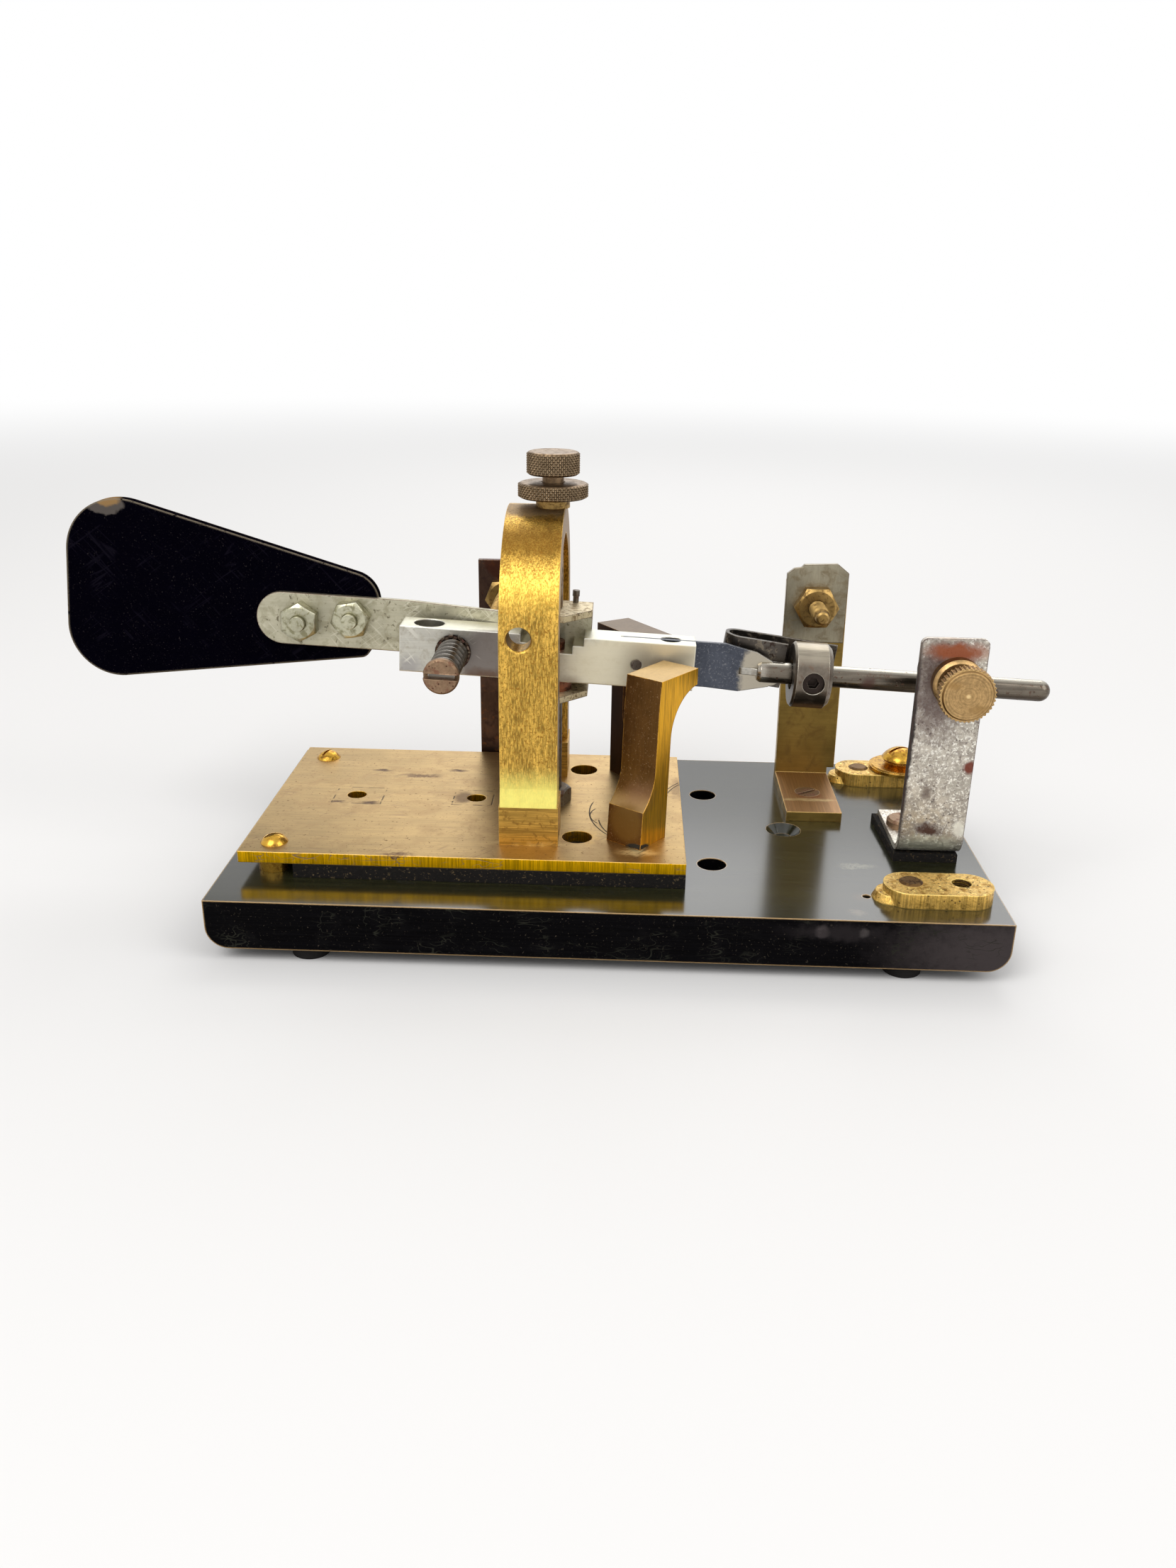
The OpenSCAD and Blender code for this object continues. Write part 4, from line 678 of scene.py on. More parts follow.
@dataclass(frozen=True)
class Finish:
    """One surface finish.

    Attributes:
        name: The material's name.
        colour: Its linear colour.
        rough: Its roughness.
        metal: How metallic it is.
        streaks: Its streaks.
        mottle: How far broad, soft clouds darken it.
        blotches: Patches, the later ones over the earlier.
        facets: Other looks for faces that look one way.
        zones: Ragged areas at chosen places.
        edge: Colour of the worn edges, on knurls partly a painted highlight of the ridges, or None.
        edge_width: Their width in millimetres.
        edge_cover: The share of the edges that is worn.
        edge_metal: How metallic a worn edge is.
        pits: Colour of small spots, or None.
        pit_size: Their size in millimetres.
        pit_cover: The share of cells that hold one.
        scratch: Colour of scratches, or None.
        scratch_turns: The turns of the two sets of scratches.
        groove: Colour at the foot of a knurl or thread, partly dirt and partly painted shade, or None.
        rings: Centre of the turning marks in millimetres, or None.
        across: The plane of those marks.
        shine: How strongly it mirrors when it is no metal; 0.5 is plain.
        varnish: Weight of a clear coat on the faces that look up.
    """

    name: str
    colour: Colour
    rough: float = 0.4
    metal: float = 1.0
    streaks: Streaks = Streaks()
    mottle: float = 0.12
    blotches: tuple[Blotch, ...] = ()
    facets: tuple[Facet, ...] = ()
    zones: tuple[Zone, ...] = ()
    edge: Optional[Colour] = None
    edge_width: float = 0.35
    edge_cover: float = 0.7
    edge_metal: float = 1.0
    pits: Optional[Colour] = None
    pit_size: float = 0.9
    pit_cover: float = 0.25
    scratch: Optional[Colour] = None
    scratch_turns: tuple[Point, Point] = ((0.0, 0.6, 0.0), (0.0, -0.85, 0.0))
    groove: Optional[Colour] = None
    rings: Optional[Point] = None
    across: Point = (1.0, 0.0, 1.0)
    shine: float = 0.5
    varnish: float = 0.0

    ROUGH_PIT: ClassVar[float] = 0.2
    ROUGH_GROOVE: ClassVar[float] = 0.15
    ROUGH_EDGE: ClassVar[float] = 0.1
    PIT_DEPTH: ClassVar[float] = 0.03
    MARK_DEPTH: ClassVar[float] = 0.01

    def marks(self, coat: Coat) -> None:
        """Add what only one kind of finish has; the plain finish adds nothing."""

    def build(self) -> bpy.types.Material:
        """Make the material, or find it if it is made.

        Returns:
            The material.
        """
        found = bpy.data.materials.get("finish_" + self.name)
        if found:
            return found
        material = bpy.data.materials.new("finish_" + self.name)
        material.use_nodes = True
        material.node_tree.nodes.clear()
        coat = Coat(material.node_tree, self.colour, self.rough, self.metal)
        coat.cloud(self.mottle)
        coat.streak(self.streaks)
        for blotch in self.blotches:
            mask = coat.mask(PATCHES, Size=blotch.size, Cover=blotch.cover, Softness=blotch.softness)
            coat.lay(mask, blotch.colour, blotch.rough, blotch.metal)
        for facet in self.facets:
            mask = coat.facing(facet.way)
            coat.colour = coat.graph.mix(mask, coat.colour, facet.colour)
            coat.rough = coat.graph.step(mask, 0.0, 1.0, coat.rough, facet.rough)
            coat.streak(facet.streaks, mask)
        if self.rings:
            coat.turn(self.rings, self.across)
        if self.pits:
            mask = coat.mask(PITS, Size=self.pit_size, Cover=self.pit_cover)
            coat.lay(mask, self.pits, self.ROUGH_PIT, self.metal, -self.PIT_DEPTH)
        for zone in self.zones:
            mask = coat.mask(ZONE, Centre=zone.centre, Half=zone.half, Rag=zone.rag, Core=zone.core)
            if zone.share < 1:
                mask = coat.graph.times(mask, zone.share)
            coat.lay(mask, zone.colour, zone.rough, zone.metal, -self.MARK_DEPTH)
        if self.scratch:
            for turn in self.scratch_turns:
                coat.lay(coat.mask(SCRATCHES, Turn=turn), self.scratch, 0.0, self.metal,
                         -self.MARK_DEPTH)
        self.marks(coat)
        # The feet of knurls and threads are painted dark, partly dirt and partly painted shade.
        if self.groove:
            mask = coat.graph.node("Attribute", {"attribute_name": "groove"}).outputs["Fac"]
            coat.lay(mask, self.groove, self.ROUGH_GROOVE, self.metal)
        edges = EDGES.place(coat.graph, Place=coat.place, Width=self.edge_width, Cover=self.edge_cover)
        if self.edge:
            coat.lay(edges["Mask"], self.edge, self.ROUGH_EDGE, self.edge_metal)
        coat.shade(edges["Normal"], self.shine, self.varnish)
        return material


@dataclass(frozen=True)
class ScribedFinish(Finish):
    """The plate's finish, with boxes scribed round two of its holes and some hair lines.

    Attributes:
        boxes: Centre and half sizes of each scribed box, in millimetres.
        hairs: Centre and radius of each bent line, and the centre and half sizes of the part that shows.
        line: Colour of the lines.
        box_share: How strongly the boxes cover what is under them.
    """

    LINE_DEPTH: ClassVar[float] = 0.02

    boxes: tuple[tuple[Point, Point], ...] = ()
    hairs: tuple[tuple[Point, float, Point, Point], ...] = ()
    line: Colour = (0.05, 0.035, 0.02)
    box_share: float = 0.8

    def marks(self, coat: Coat) -> None:
        """Add the scribed boxes and the hair lines.

        Args:
            coat: The layers so far.
        """
        for centre, half in self.boxes:
            mask = coat.graph.times(coat.mask(SCRIBE, Centre=centre, Half=half), self.box_share)
            coat.lay(mask, self.line, self.ROUGH_EDGE, 1.0, -self.LINE_DEPTH)
        for centre, radius, middle, half in self.hairs:
            bent = coat.mask(ARC, Centre=centre, Radius=radius)
            part = coat.mask(ZONE, Centre=middle, Half=half, Rag=0.5, Core=0.9)
            coat.lay(coat.graph.times(bent, part), self.line, self.ROUGH_EDGE, 1.0, -self.LINE_DEPTH)


def joint(name: str) -> dict[str, Any]:
    """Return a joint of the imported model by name."""
    return next(j for j in frame["joints"] if j["name"] == name)


def millimetres(metres: Any) -> Vector:
    """Return a point in millimetres."""
    return Vector(metres) / MM


@dataclass(frozen=True)
class Seat:
    """Where a turned piece sits: the foot of its axis and the way that it points, in millimetres."""

    foot: Vector
    way: Vector

    def matrix(self) -> Matrix:
        """Return the matrix that takes +Z to the axis and the origin to its foot."""
        return Matrix.Translation(self.foot) @ self.way.to_track_quat("Z", "Y").to_matrix().to_4x4()


def lever_matrix() -> Matrix:
    """Return the lever's frame: its pivot at the origin and its bar along X, in millimetres."""
    pivot = millimetres(joint("lever_swing")["pos_m"])
    along = Vector(joint("weight_slide")["axis"])
    return Matrix.Translation(pivot) @ Matrix.Rotation(math.atan2(-along.z, along.x), 4, "Y")


class Workpiece:
    """A mesh being shaped, in millimetres, which becomes one finished object."""

    SHARP = math.radians(32)
    FLAT = math.radians(0.4)
    WELD = 0.001

    def __init__(self) -> None:
        """Start with an empty mesh."""
        self.bm = bmesh.new()
        self.deep = self.bm.verts.layers.float.new("groove")

    @classmethod
    def from_node(cls, node: str) -> "Workpiece":
        """Start with a merged copy of a CAD node.

        Args:
            node: The node's name.

        Returns:
            The workpiece.
        """
        piece = cls()
        piece.bm.from_mesh(frame["nodes"][node].data)
        piece.deep = piece.bm.verts.layers.float.get("groove") or piece.bm.verts.layers.float.new("groove")
        bmesh.ops.transform(piece.bm, matrix=Matrix.Scale(1 / MM, 4), verts=piece.bm.verts)
        bmesh.ops.remove_doubles(piece.bm, verts=piece.bm.verts, dist=cls.WELD)
        bmesh.ops.dissolve_limit(piece.bm, angle_limit=cls.FLAT, verts=piece.bm.verts, edges=piece.bm.edges)
        return piece

    def turned(self, outline: list[Pair], steps: int, closed: bool = False) -> list[Any]:
        """Turn an outline about Z.

        Args:
            outline: Radius and height of each corner.
            steps: Number of steps round.
            closed: Whether the last corner joins the first, as for a ring.

        Returns:
            The new vertices.
        """
        before = set(self.bm.verts)
        corners = [self.bm.verts.new((radius, 0, height)) for radius, height in outline]
        pairs = list(zip(corners, corners[1:])) + ([(corners[-1], corners[0])] if closed else [])
        lines = [self.bm.edges.new(pair) for pair in pairs]
        bmesh.ops.spin(self.bm, geom=corners + lines, cent=(0, 0, 0), axis=(0, 0, 1), angle=TURN,
                       steps=steps, use_merge=True)
        fresh = [v for v in self.bm.verts if v not in before]
        bmesh.ops.remove_doubles(self.bm, verts=fresh, dist=self.WELD / 2)
        return [v for v in self.bm.verts if v not in before]

    def knurl(self, verts: list[Any], radius: float, low: float, high: float, teeth: int, rows: int,
              depth: float) -> None:
        """Cut a diamond knurl into a turned band whose outline has one corner a row.

        Args:
            verts: The turned piece's vertices, with 2 * teeth steps round.
            radius: Radius of the band.
            low: Height of the band's first row.
            high: Height of its last row.
            teeth: Diamonds round the band.
            rows: Number of rows.
            depth: Depth of the grooves.
        """
        near = 0.01
        deep = set()
        for v in verts:
            out = math.hypot(v.co.x, v.co.y)
            if abs(out - radius) > near or not low - near <= v.co.z <= high + near:
                continue
            across = round(math.atan2(v.co.y, v.co.x) / TURN * 2 * teeth)
            up = round((v.co.z - low) / (high - low) * (rows - 1))
            if (across + up) % 2:
                v.co.x *= 1 - depth / out
                v.co.y *= 1 - depth / out
                v[self.deep] = 1.0
                deep.add(v)
        for face in list(self.bm.faces):
            low_pair = [v for v in face.verts if v in deep]
            if len(face.verts) == 4 and len(low_pair) == 2:
                bmesh.utils.face_split(face, low_pair[0], low_pair[1])

    def thread(self, root: float, crest: float, start: float, end: float, pitch: float) -> None:
        """Wind a V ridge about Z, outward on a screw or inward in a hole.

        Args:
            root: Radius of the ridge's foot.
            crest: Radius of its top.
            start: Height where it starts.
            end: Height where it ends.
            pitch: Rise in one turn.
        """
        steps = 28
        half_share = 0.46
        flat_share = 0.07
        half = pitch * half_share
        flat = pitch * flat_share
        corners = ((root, -half), (crest, -flat), (crest, flat), (root, half))
        ring = [self.bm.verts.new((radius, 0, start + half + rise)) for radius, rise in corners]
        for v in (ring[0], ring[3]):
            v[self.deep] = 1.0
        face = self.bm.faces.new(ring)
        count = int((end - start - 2 * half) / pitch * steps)
        bmesh.ops.spin(self.bm, geom=[face, *face.edges, *face.verts], cent=(0, 0, 0), axis=(0, 0, 1),
                       dvec=(0, 0, pitch / steps), angle=TURN * count / steps, steps=count)
        bmesh.ops.holes_fill(self.bm, edges=[e for e in self.bm.edges if e.is_boundary], sides=0)

    def cut(self, place: Vector, way: Vector) -> None:
        """Cut off all that lies past a plane, and close the cut.

        Args:
            place: A point of the plane.
            way: The side that is cut off.
        """
        geometry = [*self.bm.verts, *self.bm.edges, *self.bm.faces]
        bmesh.ops.bisect_plane(self.bm, geom=geometry, plane_co=place, plane_no=way, clear_outer=True)
        bmesh.ops.holes_fill(self.bm, edges=[e for e in self.bm.edges if e.is_boundary], sides=0)

    def rounded(self, width: float, segments: int = 2) -> None:
        """Round the sharp edges.

        Args:
            width: Width of the rounding.
            segments: Facets across it.
        """
        sharp = [e for e in self.bm.edges
                 if len(e.link_faces) == 2 and e.calc_face_angle(0) > self.SHARP]
        bmesh.ops.bevel(self.bm, geom=sharp, offset=width, offset_type="OFFSET", segments=segments,
                        profile=0.5, affect="EDGES", material=-1, clamp_overlap=True)

    def placed(self, matrix: Matrix) -> None:
        """Move the whole workpiece by a matrix."""
        bmesh.ops.transform(self.bm, matrix=matrix, verts=self.bm.verts)

    def done(self, name: str, finish: Finish, body: str, slot: str,
             replaces: tuple[str, ...] = ()) -> None:
        """Make the finished object.

        Args:
            name: The piece's name.
            finish: Its finish.
            body: The CAD body that it rides on.
            slot: The record's material slot; not used.
            replaces: The CAD nodes that it stands for.
        """
        bmesh.ops.recalc_face_normals(self.bm, faces=self.bm.faces)
        for face in self.bm.faces:
            face.smooth = True
        for edge in self.bm.edges:
            edge.smooth = len(edge.link_faces) == 2 and edge.calc_face_angle(0) < self.SHARP
        bmesh.ops.transform(self.bm, matrix=Matrix.Scale(MM, 4), verts=self.bm.verts)
        mesh = bpy.data.meshes.new(name)
        self.bm.to_mesh(mesh)
        self.bm.free()
        piece = bpy.data.objects.new(name, mesh)
        bpy.context.scene.collection.objects.link(piece)
        mesh.materials.append(finish.build())
        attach(piece, body)
        if replaces:
            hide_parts(*replaces)
        log.info("made %s with %d faces on body %s", name, len(mesh.polygons), body)


class Axis(IntEnum):
    """An axis of the frame, as the place of its coordinate."""

    X = 0
    Y = 1
    Z = 2


def ends(node: str, axis: Axis) -> tuple[float, float]:
    """Return where a CAD node's box starts and ends along an axis, in millimetres."""
    low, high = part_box(node)
    return low[axis] / MM, high[axis] / MM


@dataclass(frozen=True)
class Panel:
    """A plane that zones are placed on by two coordinates.

    Attributes:
        axis: The axis that it is square to.
        at: Where it is along that axis, in millimetres.
        deep: How far its zones reach from it.
    """

    axis: Axis
    at: float
    deep: float

    def lift(self, first: float, second: float, third: float) -> Point:
        """Put a third coordinate between two others, at the panel's axis.

        Args:
            first: The first coordinate in the panel.
            second: The second one.
            third: The one along the panel's axis.

        Returns:
            All three in order.
        """
        point = [first, second]
        point.insert(self.axis, third)
        return tuple(point)

    def zone(self, first: float, second: float, half_first: float, half_second: float, colour: Colour,
             *more: float) -> Zone:
        """Place a zone.

        Args:
            first: Its centre's first coordinate in the panel.
            second: The second one.
            half_first: Its half size along the first.
            half_second: Its half size along the second.
            colour: Its linear colour.
            more: Its share, rag, core, rough and metal, as many as differ from a plain zone's.

        Returns:
            The zone.
        """
        centre = self.lift(first, second, self.at)
        return Zone(centre, self.lift(half_first, half_second, self.deep), colour, *more)


PLATE_TOP = ends("mounting_plate", Axis.Z)[1]
BASE_TOP = ends("base", Axis.Z)[1]
BASE_FRONT = ends("base", Axis.Y)[0]
ROD_FRONT = ends("pendulum_rod", Axis.Y)[0]
ON_PLATE = Panel(Axis.Z, PLATE_TOP, 3.0)
ON_PLATE_THIN = Panel(Axis.Z, PLATE_TOP, 1.0)
ON_BASE = Panel(Axis.Z, BASE_TOP, 1.0)
ON_BASE_FRONT = Panel(Axis.Y, BASE_FRONT, 2.0)
ACROSS_HOOP = Panel(Axis.X, sum(ends("hoop", Axis.X)) / 2, 40.0)
ON_THUMB = Panel(Axis.Y, ends("thumb_screw", Axis.Y)[0], 3.0)
ON_BAR = Panel(Axis.Y, ends("lever_bar", Axis.Y)[0], 3.0)
ON_DAMPER = Panel(Axis.Y, ends("damper_bracket", Axis.Y)[0], 4.0)
ON_PADDLE = Panel(Axis.Y, ends("paddle", Axis.Y)[0], 4.0)
THUMB_X = sum(ends("thumb_screw", Axis.X)) / 2
THUMB_Z = sum(ends("thumb_screw", Axis.Z)) / 2
SMUDGE = paint(98, 76, 58)


def hair(centre: tuple[float, float], radius: float, middle: tuple[float, float],
         half: tuple[float, float]) -> tuple[Point, float, Point, Point]:
    """Lay out a bent hair line on the plate.

    Args:
        centre: Centre of its bend.
        radius: Radius of its bend.
        middle: Middle of the part that shows.
        half: Half size of that part.

    Returns:
        The line as a ScribedFinish keeps it.
    """
    return (*centre, 0.0), radius, (*middle, PLATE_TOP), (*half, ON_PLATE.deep)


# Brass
PLATE = ScribedFinish(
    "plate_brass", paint(192, 162, 110), 0.38, streaks=Streaks(Grain.ALONG_X, 0.010, 0.20), mottle=0.10,
    # Painted highlight: the front edge face is painted bright gold.
    facets=(Facet((0, -1, 0), paint(255, 196, 14), Streaks(Grain.LONG_Z, 0.03, 0.5), 0.34),
            Facet((0, 1, 0), paint(170, 118, 40), Streaks(Grain.LONG_Z, 0.02, 0.5), 0.4)),
    blotches=(Blotch(paint(172, 143, 98), 6.0, 0.25, 0.10, 0.05),
              Blotch(paint(132, 104, 70), 0.7, 0.04, 0.03)),
    edge=paint(244, 204, 122), edge_width=0.3, scratch=paint(162, 134, 92),
    scratch_turns=((0.0, 0.0, 0.12), (0.0, 0.0, -0.9)),
    zones=(Zone((-29.3, -32.6, PLATE_TOP), (4.4, 2.6, 0.8), paint(112, 84, 62), 1.0, 4.5, 0.3),
           Zone((-28.6, -33.9, 18.4), (2.6, 1.2, 2.0), paint(80, 58, 40), 1.0, 2.0, 0.5),
           ON_PLATE.zone(-41.7, 16.5, 3.2, 1.1, SMUDGE, 1.0, 3.0, 0.2),
           ON_PLATE.zone(-31.9, 13.4, 7.0, 1.6, paint(112, 88, 66), 0.9, 5.5, 0.2),
           ON_PLATE.zone(-22.9, 17.4, 3.0, 1.1, SMUDGE, 1.0, 2.5, 0.2),
           ON_PLATE.zone(-41.0, -4.4, 3.0, 1.2, SMUDGE, 1.0, 2.5, 0.2),
           ON_PLATE.zone(-48.5, -4.2, 2.2, 0.9, SMUDGE, 1.0, 2.5, 0.2),
           ON_PLATE.zone(-19.6, 0.3, 2.6, 4.2, paint(122, 98, 70), 0.9, 2.0, 0.5),
           ON_PLATE_THIN.zone(-2.3, -24.4, 9.0, 1.6, paint(248, 226, 170), 0.8, 3.0, 0.4, 0.2),
           ON_PLATE_THIN.zone(9.0, -20.0, 5.0, 5.0, paint(220, 182, 112), 0.7, 6.0, 0.2, 0.1),
           ON_PLATE_THIN.zone(21.0, -27.4, 5.6, 2.6, paint(250, 226, 168), 0.9, 3.0, 0.3, 0.2),
           ON_PLATE.zone(31.0, 9.0, 3.0, 9.0, paint(122, 98, 70), 0.7, 6.0, 0.2)),
    boxes=(((-44.0, -0.2, 0), (5.7, 4.8, 0)), ((-17.2, 0.2, 0), (4.6, 4.4, 0))),
    hairs=(hair((31.3, -5.8), 21.1, (12.0, -10.0), (5, 10)),
           hair((17.0, -8.0), 6.6, (10.6, -8.6), (3.0, 4.6)),
           hair((30.0, -9.0), 17.6, (13.4, -15.4), (3.0, 5.0)),
           hair((44.0, 2.0), 16.2, (30.0, 10.6), (3.5, 4.5)),
           hair((44.0, 2.0), 17.0, (30.4, 11.6), (3.0, 3.4))))
HOOP = Finish(
    "hoop_brass", paint(244, 196, 92), 0.32, streaks=Streaks(Grain.ALONG_Z, 0.06, 0.72), mottle=0.14,
    facets=(Facet((1, 0, 0), paint(138, 104, 54), Streaks(Grain.EVEN, 0.02, 0.3), 0.42),
            Facet((-1, 0, 0), paint(158, 118, 52), Streaks(Grain.EVEN, 0.02, 0.3), 0.42)),
    blotches=(Blotch(paint(158, 114, 46), 0.5, 0.26, 0.05),),
    # Painted reflection: the bright yellow band low on the legs is the lit plate mirrored in the hoop.
    zones=(ACROSS_HOOP.zone(-21.5, 29.2, 10, 9.0, paint(255, 244, 132), 0.95, 3.5, 0.25, -0.04),
           # Painted highlight: a faint yellow tint on the arch.
           ACROSS_HOOP.zone(-21.0, 73.0, 6, 6.0, paint(255, 214, 88), 0.20, 3.0, 0.2, -0.04),
           # Painted shade: the dark patch on top of the arch, where it curves away from the light.
           ACROSS_HOOP.zone(-14.0, 82.5, 6.4, 5.4, paint(130, 90, 32), 0.72, 2.5, 0.3, 0.0),
           ACROSS_HOOP.zone(-3.4, 88.4, 7.4, 2.6, paint(132, 112, 88), 0.85, 2.4, 0.5, 0.25)),
    edge=paint(240, 200, 112), edge_width=0.25)
FOOT_BLOCK = Finish(
    "foot_brass", paint(222, 174, 84), 0.40, streaks=Streaks(Grain.ALONG_X, 0.03, 0.55),
    blotches=(Blotch(paint(150, 114, 54), 1.6, 0.20, 0.08),),
    zones=(ACROSS_HOOP.zone(-22.0, 19.4, 4, 2.0, paint(250, 232, 178), 0.7, 2.5, 0.3, 0.3),),
    edge=paint(236, 204, 128), edge_width=0.2)
POST = Finish(
    "post_brass", paint(110, 77, 40), 0.36, streaks=Streaks(Grain.LONG_Z, 0.01, 0.22), mottle=0.2,
    # Partly a filed face and partly a painted highlight: the face turned to the front right, toward the
    # light, is painted bright gold.
    facets=(Facet((0.809, -0.588, 0), paint(250, 186, 44), Streaks(Grain.LONG_Z, 0.03, 0.5), 0.32),
            Facet((0, 0, 1), paint(184, 153, 98), Streaks(Grain.EVEN, 0.02, 0.15), 0.36)),
    blotches=(Blotch(paint(150, 118, 84), 0.45, 0.06, 0.03),),
    zones=(Zone((19.0, -24.0, 31.0), (7, 5, 5.5), paint(138, 104, 78), 0.55, 3.0, 0.3, 0.1),
           Zone((17.5, -25.0, 25.0), (5, 5, 5.0), paint(128, 96, 48), 0.8, 1.5, 0.7, 0.05),
           Zone((21.3, -25.6, 19.6), (3.0, 3.4, 1.3), paint(12, 9, 8), 1.0, 0.5, 0.8, 0.2, 0.2)),
    edge=paint(226, 170, 74), edge_width=0.3, edge_cover=0.6)
SHADED_POST = Finish(
    "shaded_post_brass", paint(66, 42, 24), 0.46, streaks=Streaks(Grain.LONG_Z, 0.01, 0.22), mottle=0.2,
    facets=(Facet((0, 0, 1), paint(112, 96, 78), Streaks(Grain.EVEN, 0.02, 0.15), 0.4),),
    edge=paint(150, 112, 70), edge_width=0.3, edge_cover=0.6)
KNURLED = Finish(
    "knurled_brass", paint(150, 126, 98), 0.34, streaks=Streaks(Grain.EVEN, 0.01, 0.15), mottle=0.2,
    # The grooves are painted dark, partly dirt and partly painted shade; the light worn edges on the crests
    # are partly a painted highlight.
    blotches=(Blotch(paint(108, 88, 66), 1.6, 0.35, 0.1),), groove=paint(26, 18, 14),
    edge=paint(196, 172, 138), edge_width=0.12, edge_cover=0.9)
THUMB = Finish(
    "thumb_brass", paint(138, 106, 66), 0.40, streaks=Streaks(Grain.EVEN, 0.01, 0.12),
    facets=(Facet((0, -1, 0), paint(204, 167, 114), Streaks(Grain.EVEN, 0.03, 0.35), 0.36),),
    blotches=(Blotch(paint(160, 126, 82), 1.4, 0.20, 0.08),), rings=(THUMB_X, 0.0, THUMB_Z),
    zones=(ON_THUMB.zone(THUMB_X, THUMB_Z, 0.5, 0.5, paint(236, 206, 150), 0.9, 0.0, 0.5),
           ON_THUMB.zone(83.4, 58.6, 2.2, 1.2, paint(160, 124, 74), 0.6, 2.0, 0.2),
           ON_THUMB.zone(89.0, 53.4, 3.0, 1.4, paint(150, 118, 72), 0.6, 2.5, 0.2)),
    # The light worn edges are partly a painted highlight on the ridges of the knurled rim.
    edge=paint(226, 190, 124), edge_width=0.18, edge_cover=0.8)
SCREW_BRASS = Finish(
    "screw_brass", paint(214, 166, 66), 0.24, streaks=Streaks(Grain.EVEN, 0.012, 0.12),
    blotches=(Blotch(paint(140, 98, 40), 1.3, 0.30, 0.08),), edge=paint(244, 214, 130), edge_width=0.12)
STUD_BRASS = Finish(
    "stud_brass", paint(172, 140, 84), 0.36, streaks=Streaks(Grain.EVEN, 0.012, 0.15), mottle=0.2,
    blotches=(Blotch(paint(112, 88, 52), 1.4, 0.3, 0.08),), groove=paint(74, 56, 34),
    edge=paint(206, 176, 116), edge_width=0.15)
DULL_BRASS = Finish(
    "dull_brass", paint(118, 90, 56), 0.5, streaks=Streaks(Grain.EVEN, 0.02, 0.25),
    blotches=(Blotch(paint(70, 52, 36), 1.5, 0.3, 0.08),), edge=paint(150, 118, 78), edge_width=0.15)
BRACKET_BRASS = Finish(
    "bracket_brass", paint(164, 136, 72), 0.40, streaks=Streaks(Grain.ALONG_X, 0.012, 0.18), mottle=0.25,
    facets=(Facet((0, 0, 1), paint(176, 138, 98), Streaks(Grain.ALONG_Y, 0.02, 0.25), 0.45),),
    blotches=(Blotch(paint(132, 106, 56), 4.0, 0.25, 0.1),),
    zones=(Zone((63.5, 16.0, 16.8), (4.5, 4.5, 1.5), paint(140, 88, 62), 0.8, 4.0, 0.3),
           Zone((62.4, 13.0, 15.6), (9, 1.4, 1.4), paint(226, 206, 158), 0.8, 1.5, 0.4, 0.0)),
    edge=paint(222, 186, 116), edge_width=0.35)
CAST_BRASS = Finish(
    "cast_brass", paint(236, 194, 104), 0.36, 0.6, streaks=Streaks(Grain.EVEN, 0.14, 0.35), mottle=0.25,
    # Painted highlights: the front faces are painted bright gold, and the second, pale yellow patches are
    # painted glints.
    facets=(Facet((0, -1, 0), paint(255, 206, 104), Streaks(Grain.LONG_Z, 0.05, 0.6), 0.34),),
    blotches=(Blotch(paint(168, 128, 56), 1.6, 0.30, 0.08), Blotch(paint(255, 232, 150), 1.0, 0.14, 0.04),
              Blotch(paint(78, 62, 34), 0.9, 0.10, 0.03)),
    pits=paint(106, 80, 36), pit_size=0.8, pit_cover=0.16, edge=paint(255, 226, 140), edge_width=0.4)
# The hole's thread is painted dark, partly its oxide and partly painted shade inside the hole.
DARK_HOLE = Finish(
    "hole_thread_brass", paint(62, 44, 24), 0.4, streaks=Streaks(Grain.EVEN, 0.02, 0.2),
    groove=paint(10, 8, 6), edge=paint(170, 136, 76), edge_width=0.1)
PATINA = Finish(
    "dark_patina", paint(92, 72, 64), 0.40, streaks=Streaks(Grain.ALONG_Z, 0.01, 0.15), mottle=0.35,
    blotches=(Blotch(paint(64, 48, 44), 2.4, 0.25, 0.1), Blotch(paint(110, 74, 50), 1.6, 0.08, 0.04)),
    zones=(Zone((-12.6, 33.2, 70.0), (5.4, 3, 6.0), paint(72, 40, 30), 0.7, 1.0, 0.9),),
    edge=paint(146, 120, 100), edge_width=0.3)

# White and grey metal
ALUMINIUM = Finish(
    "bar_aluminium", paint(200, 197, 186), 0.34, streaks=Streaks(Grain.ALONG_X, 0.010, 0.12), mottle=0.14,
    # Painted highlight: the bar's top face is painted lighter.
    facets=(Facet((0, 0, 1), paint(222, 220, 204), Streaks(Grain.EVEN, 0.03, 0.12), 0.36),),
    blotches=(Blotch(paint(176, 170, 156), 2.0, 0.22, 0.08, 0.05),),
    zones=(ON_BAR.zone(21.0, 54.0, 21.0, 9.0, paint(238, 228, 198), 0.75, 2.0, 0.6),
           ON_BAR.zone(30.5, 52.6, 2.6, 2.2, paint(118, 92, 76), 0.6, 2.0, 0.2),
           ON_BAR.zone(-12.6, 54.5, 8.4, 9.0, paint(124, 116, 112), 0.9, 2.0, 0.6),
           ON_BAR.zone(-14.0, 50.6, 8.0, 2.6, paint(112, 84, 66), 0.7, 2.5, 0.2),
           ON_BAR.zone(-30.5, 52.6, 4.0, 3.0, paint(150, 146, 148), 0.6, 2.5, 0.2),
           ON_BAR.zone(5.0, 50.0, 3.4, 2.0, paint(140, 120, 96), 0.5, 2.0, 0.2)),
    edge=paint(240, 238, 228), edge_width=0.45, edge_cover=0.9, scratch=paint(214, 211, 200))
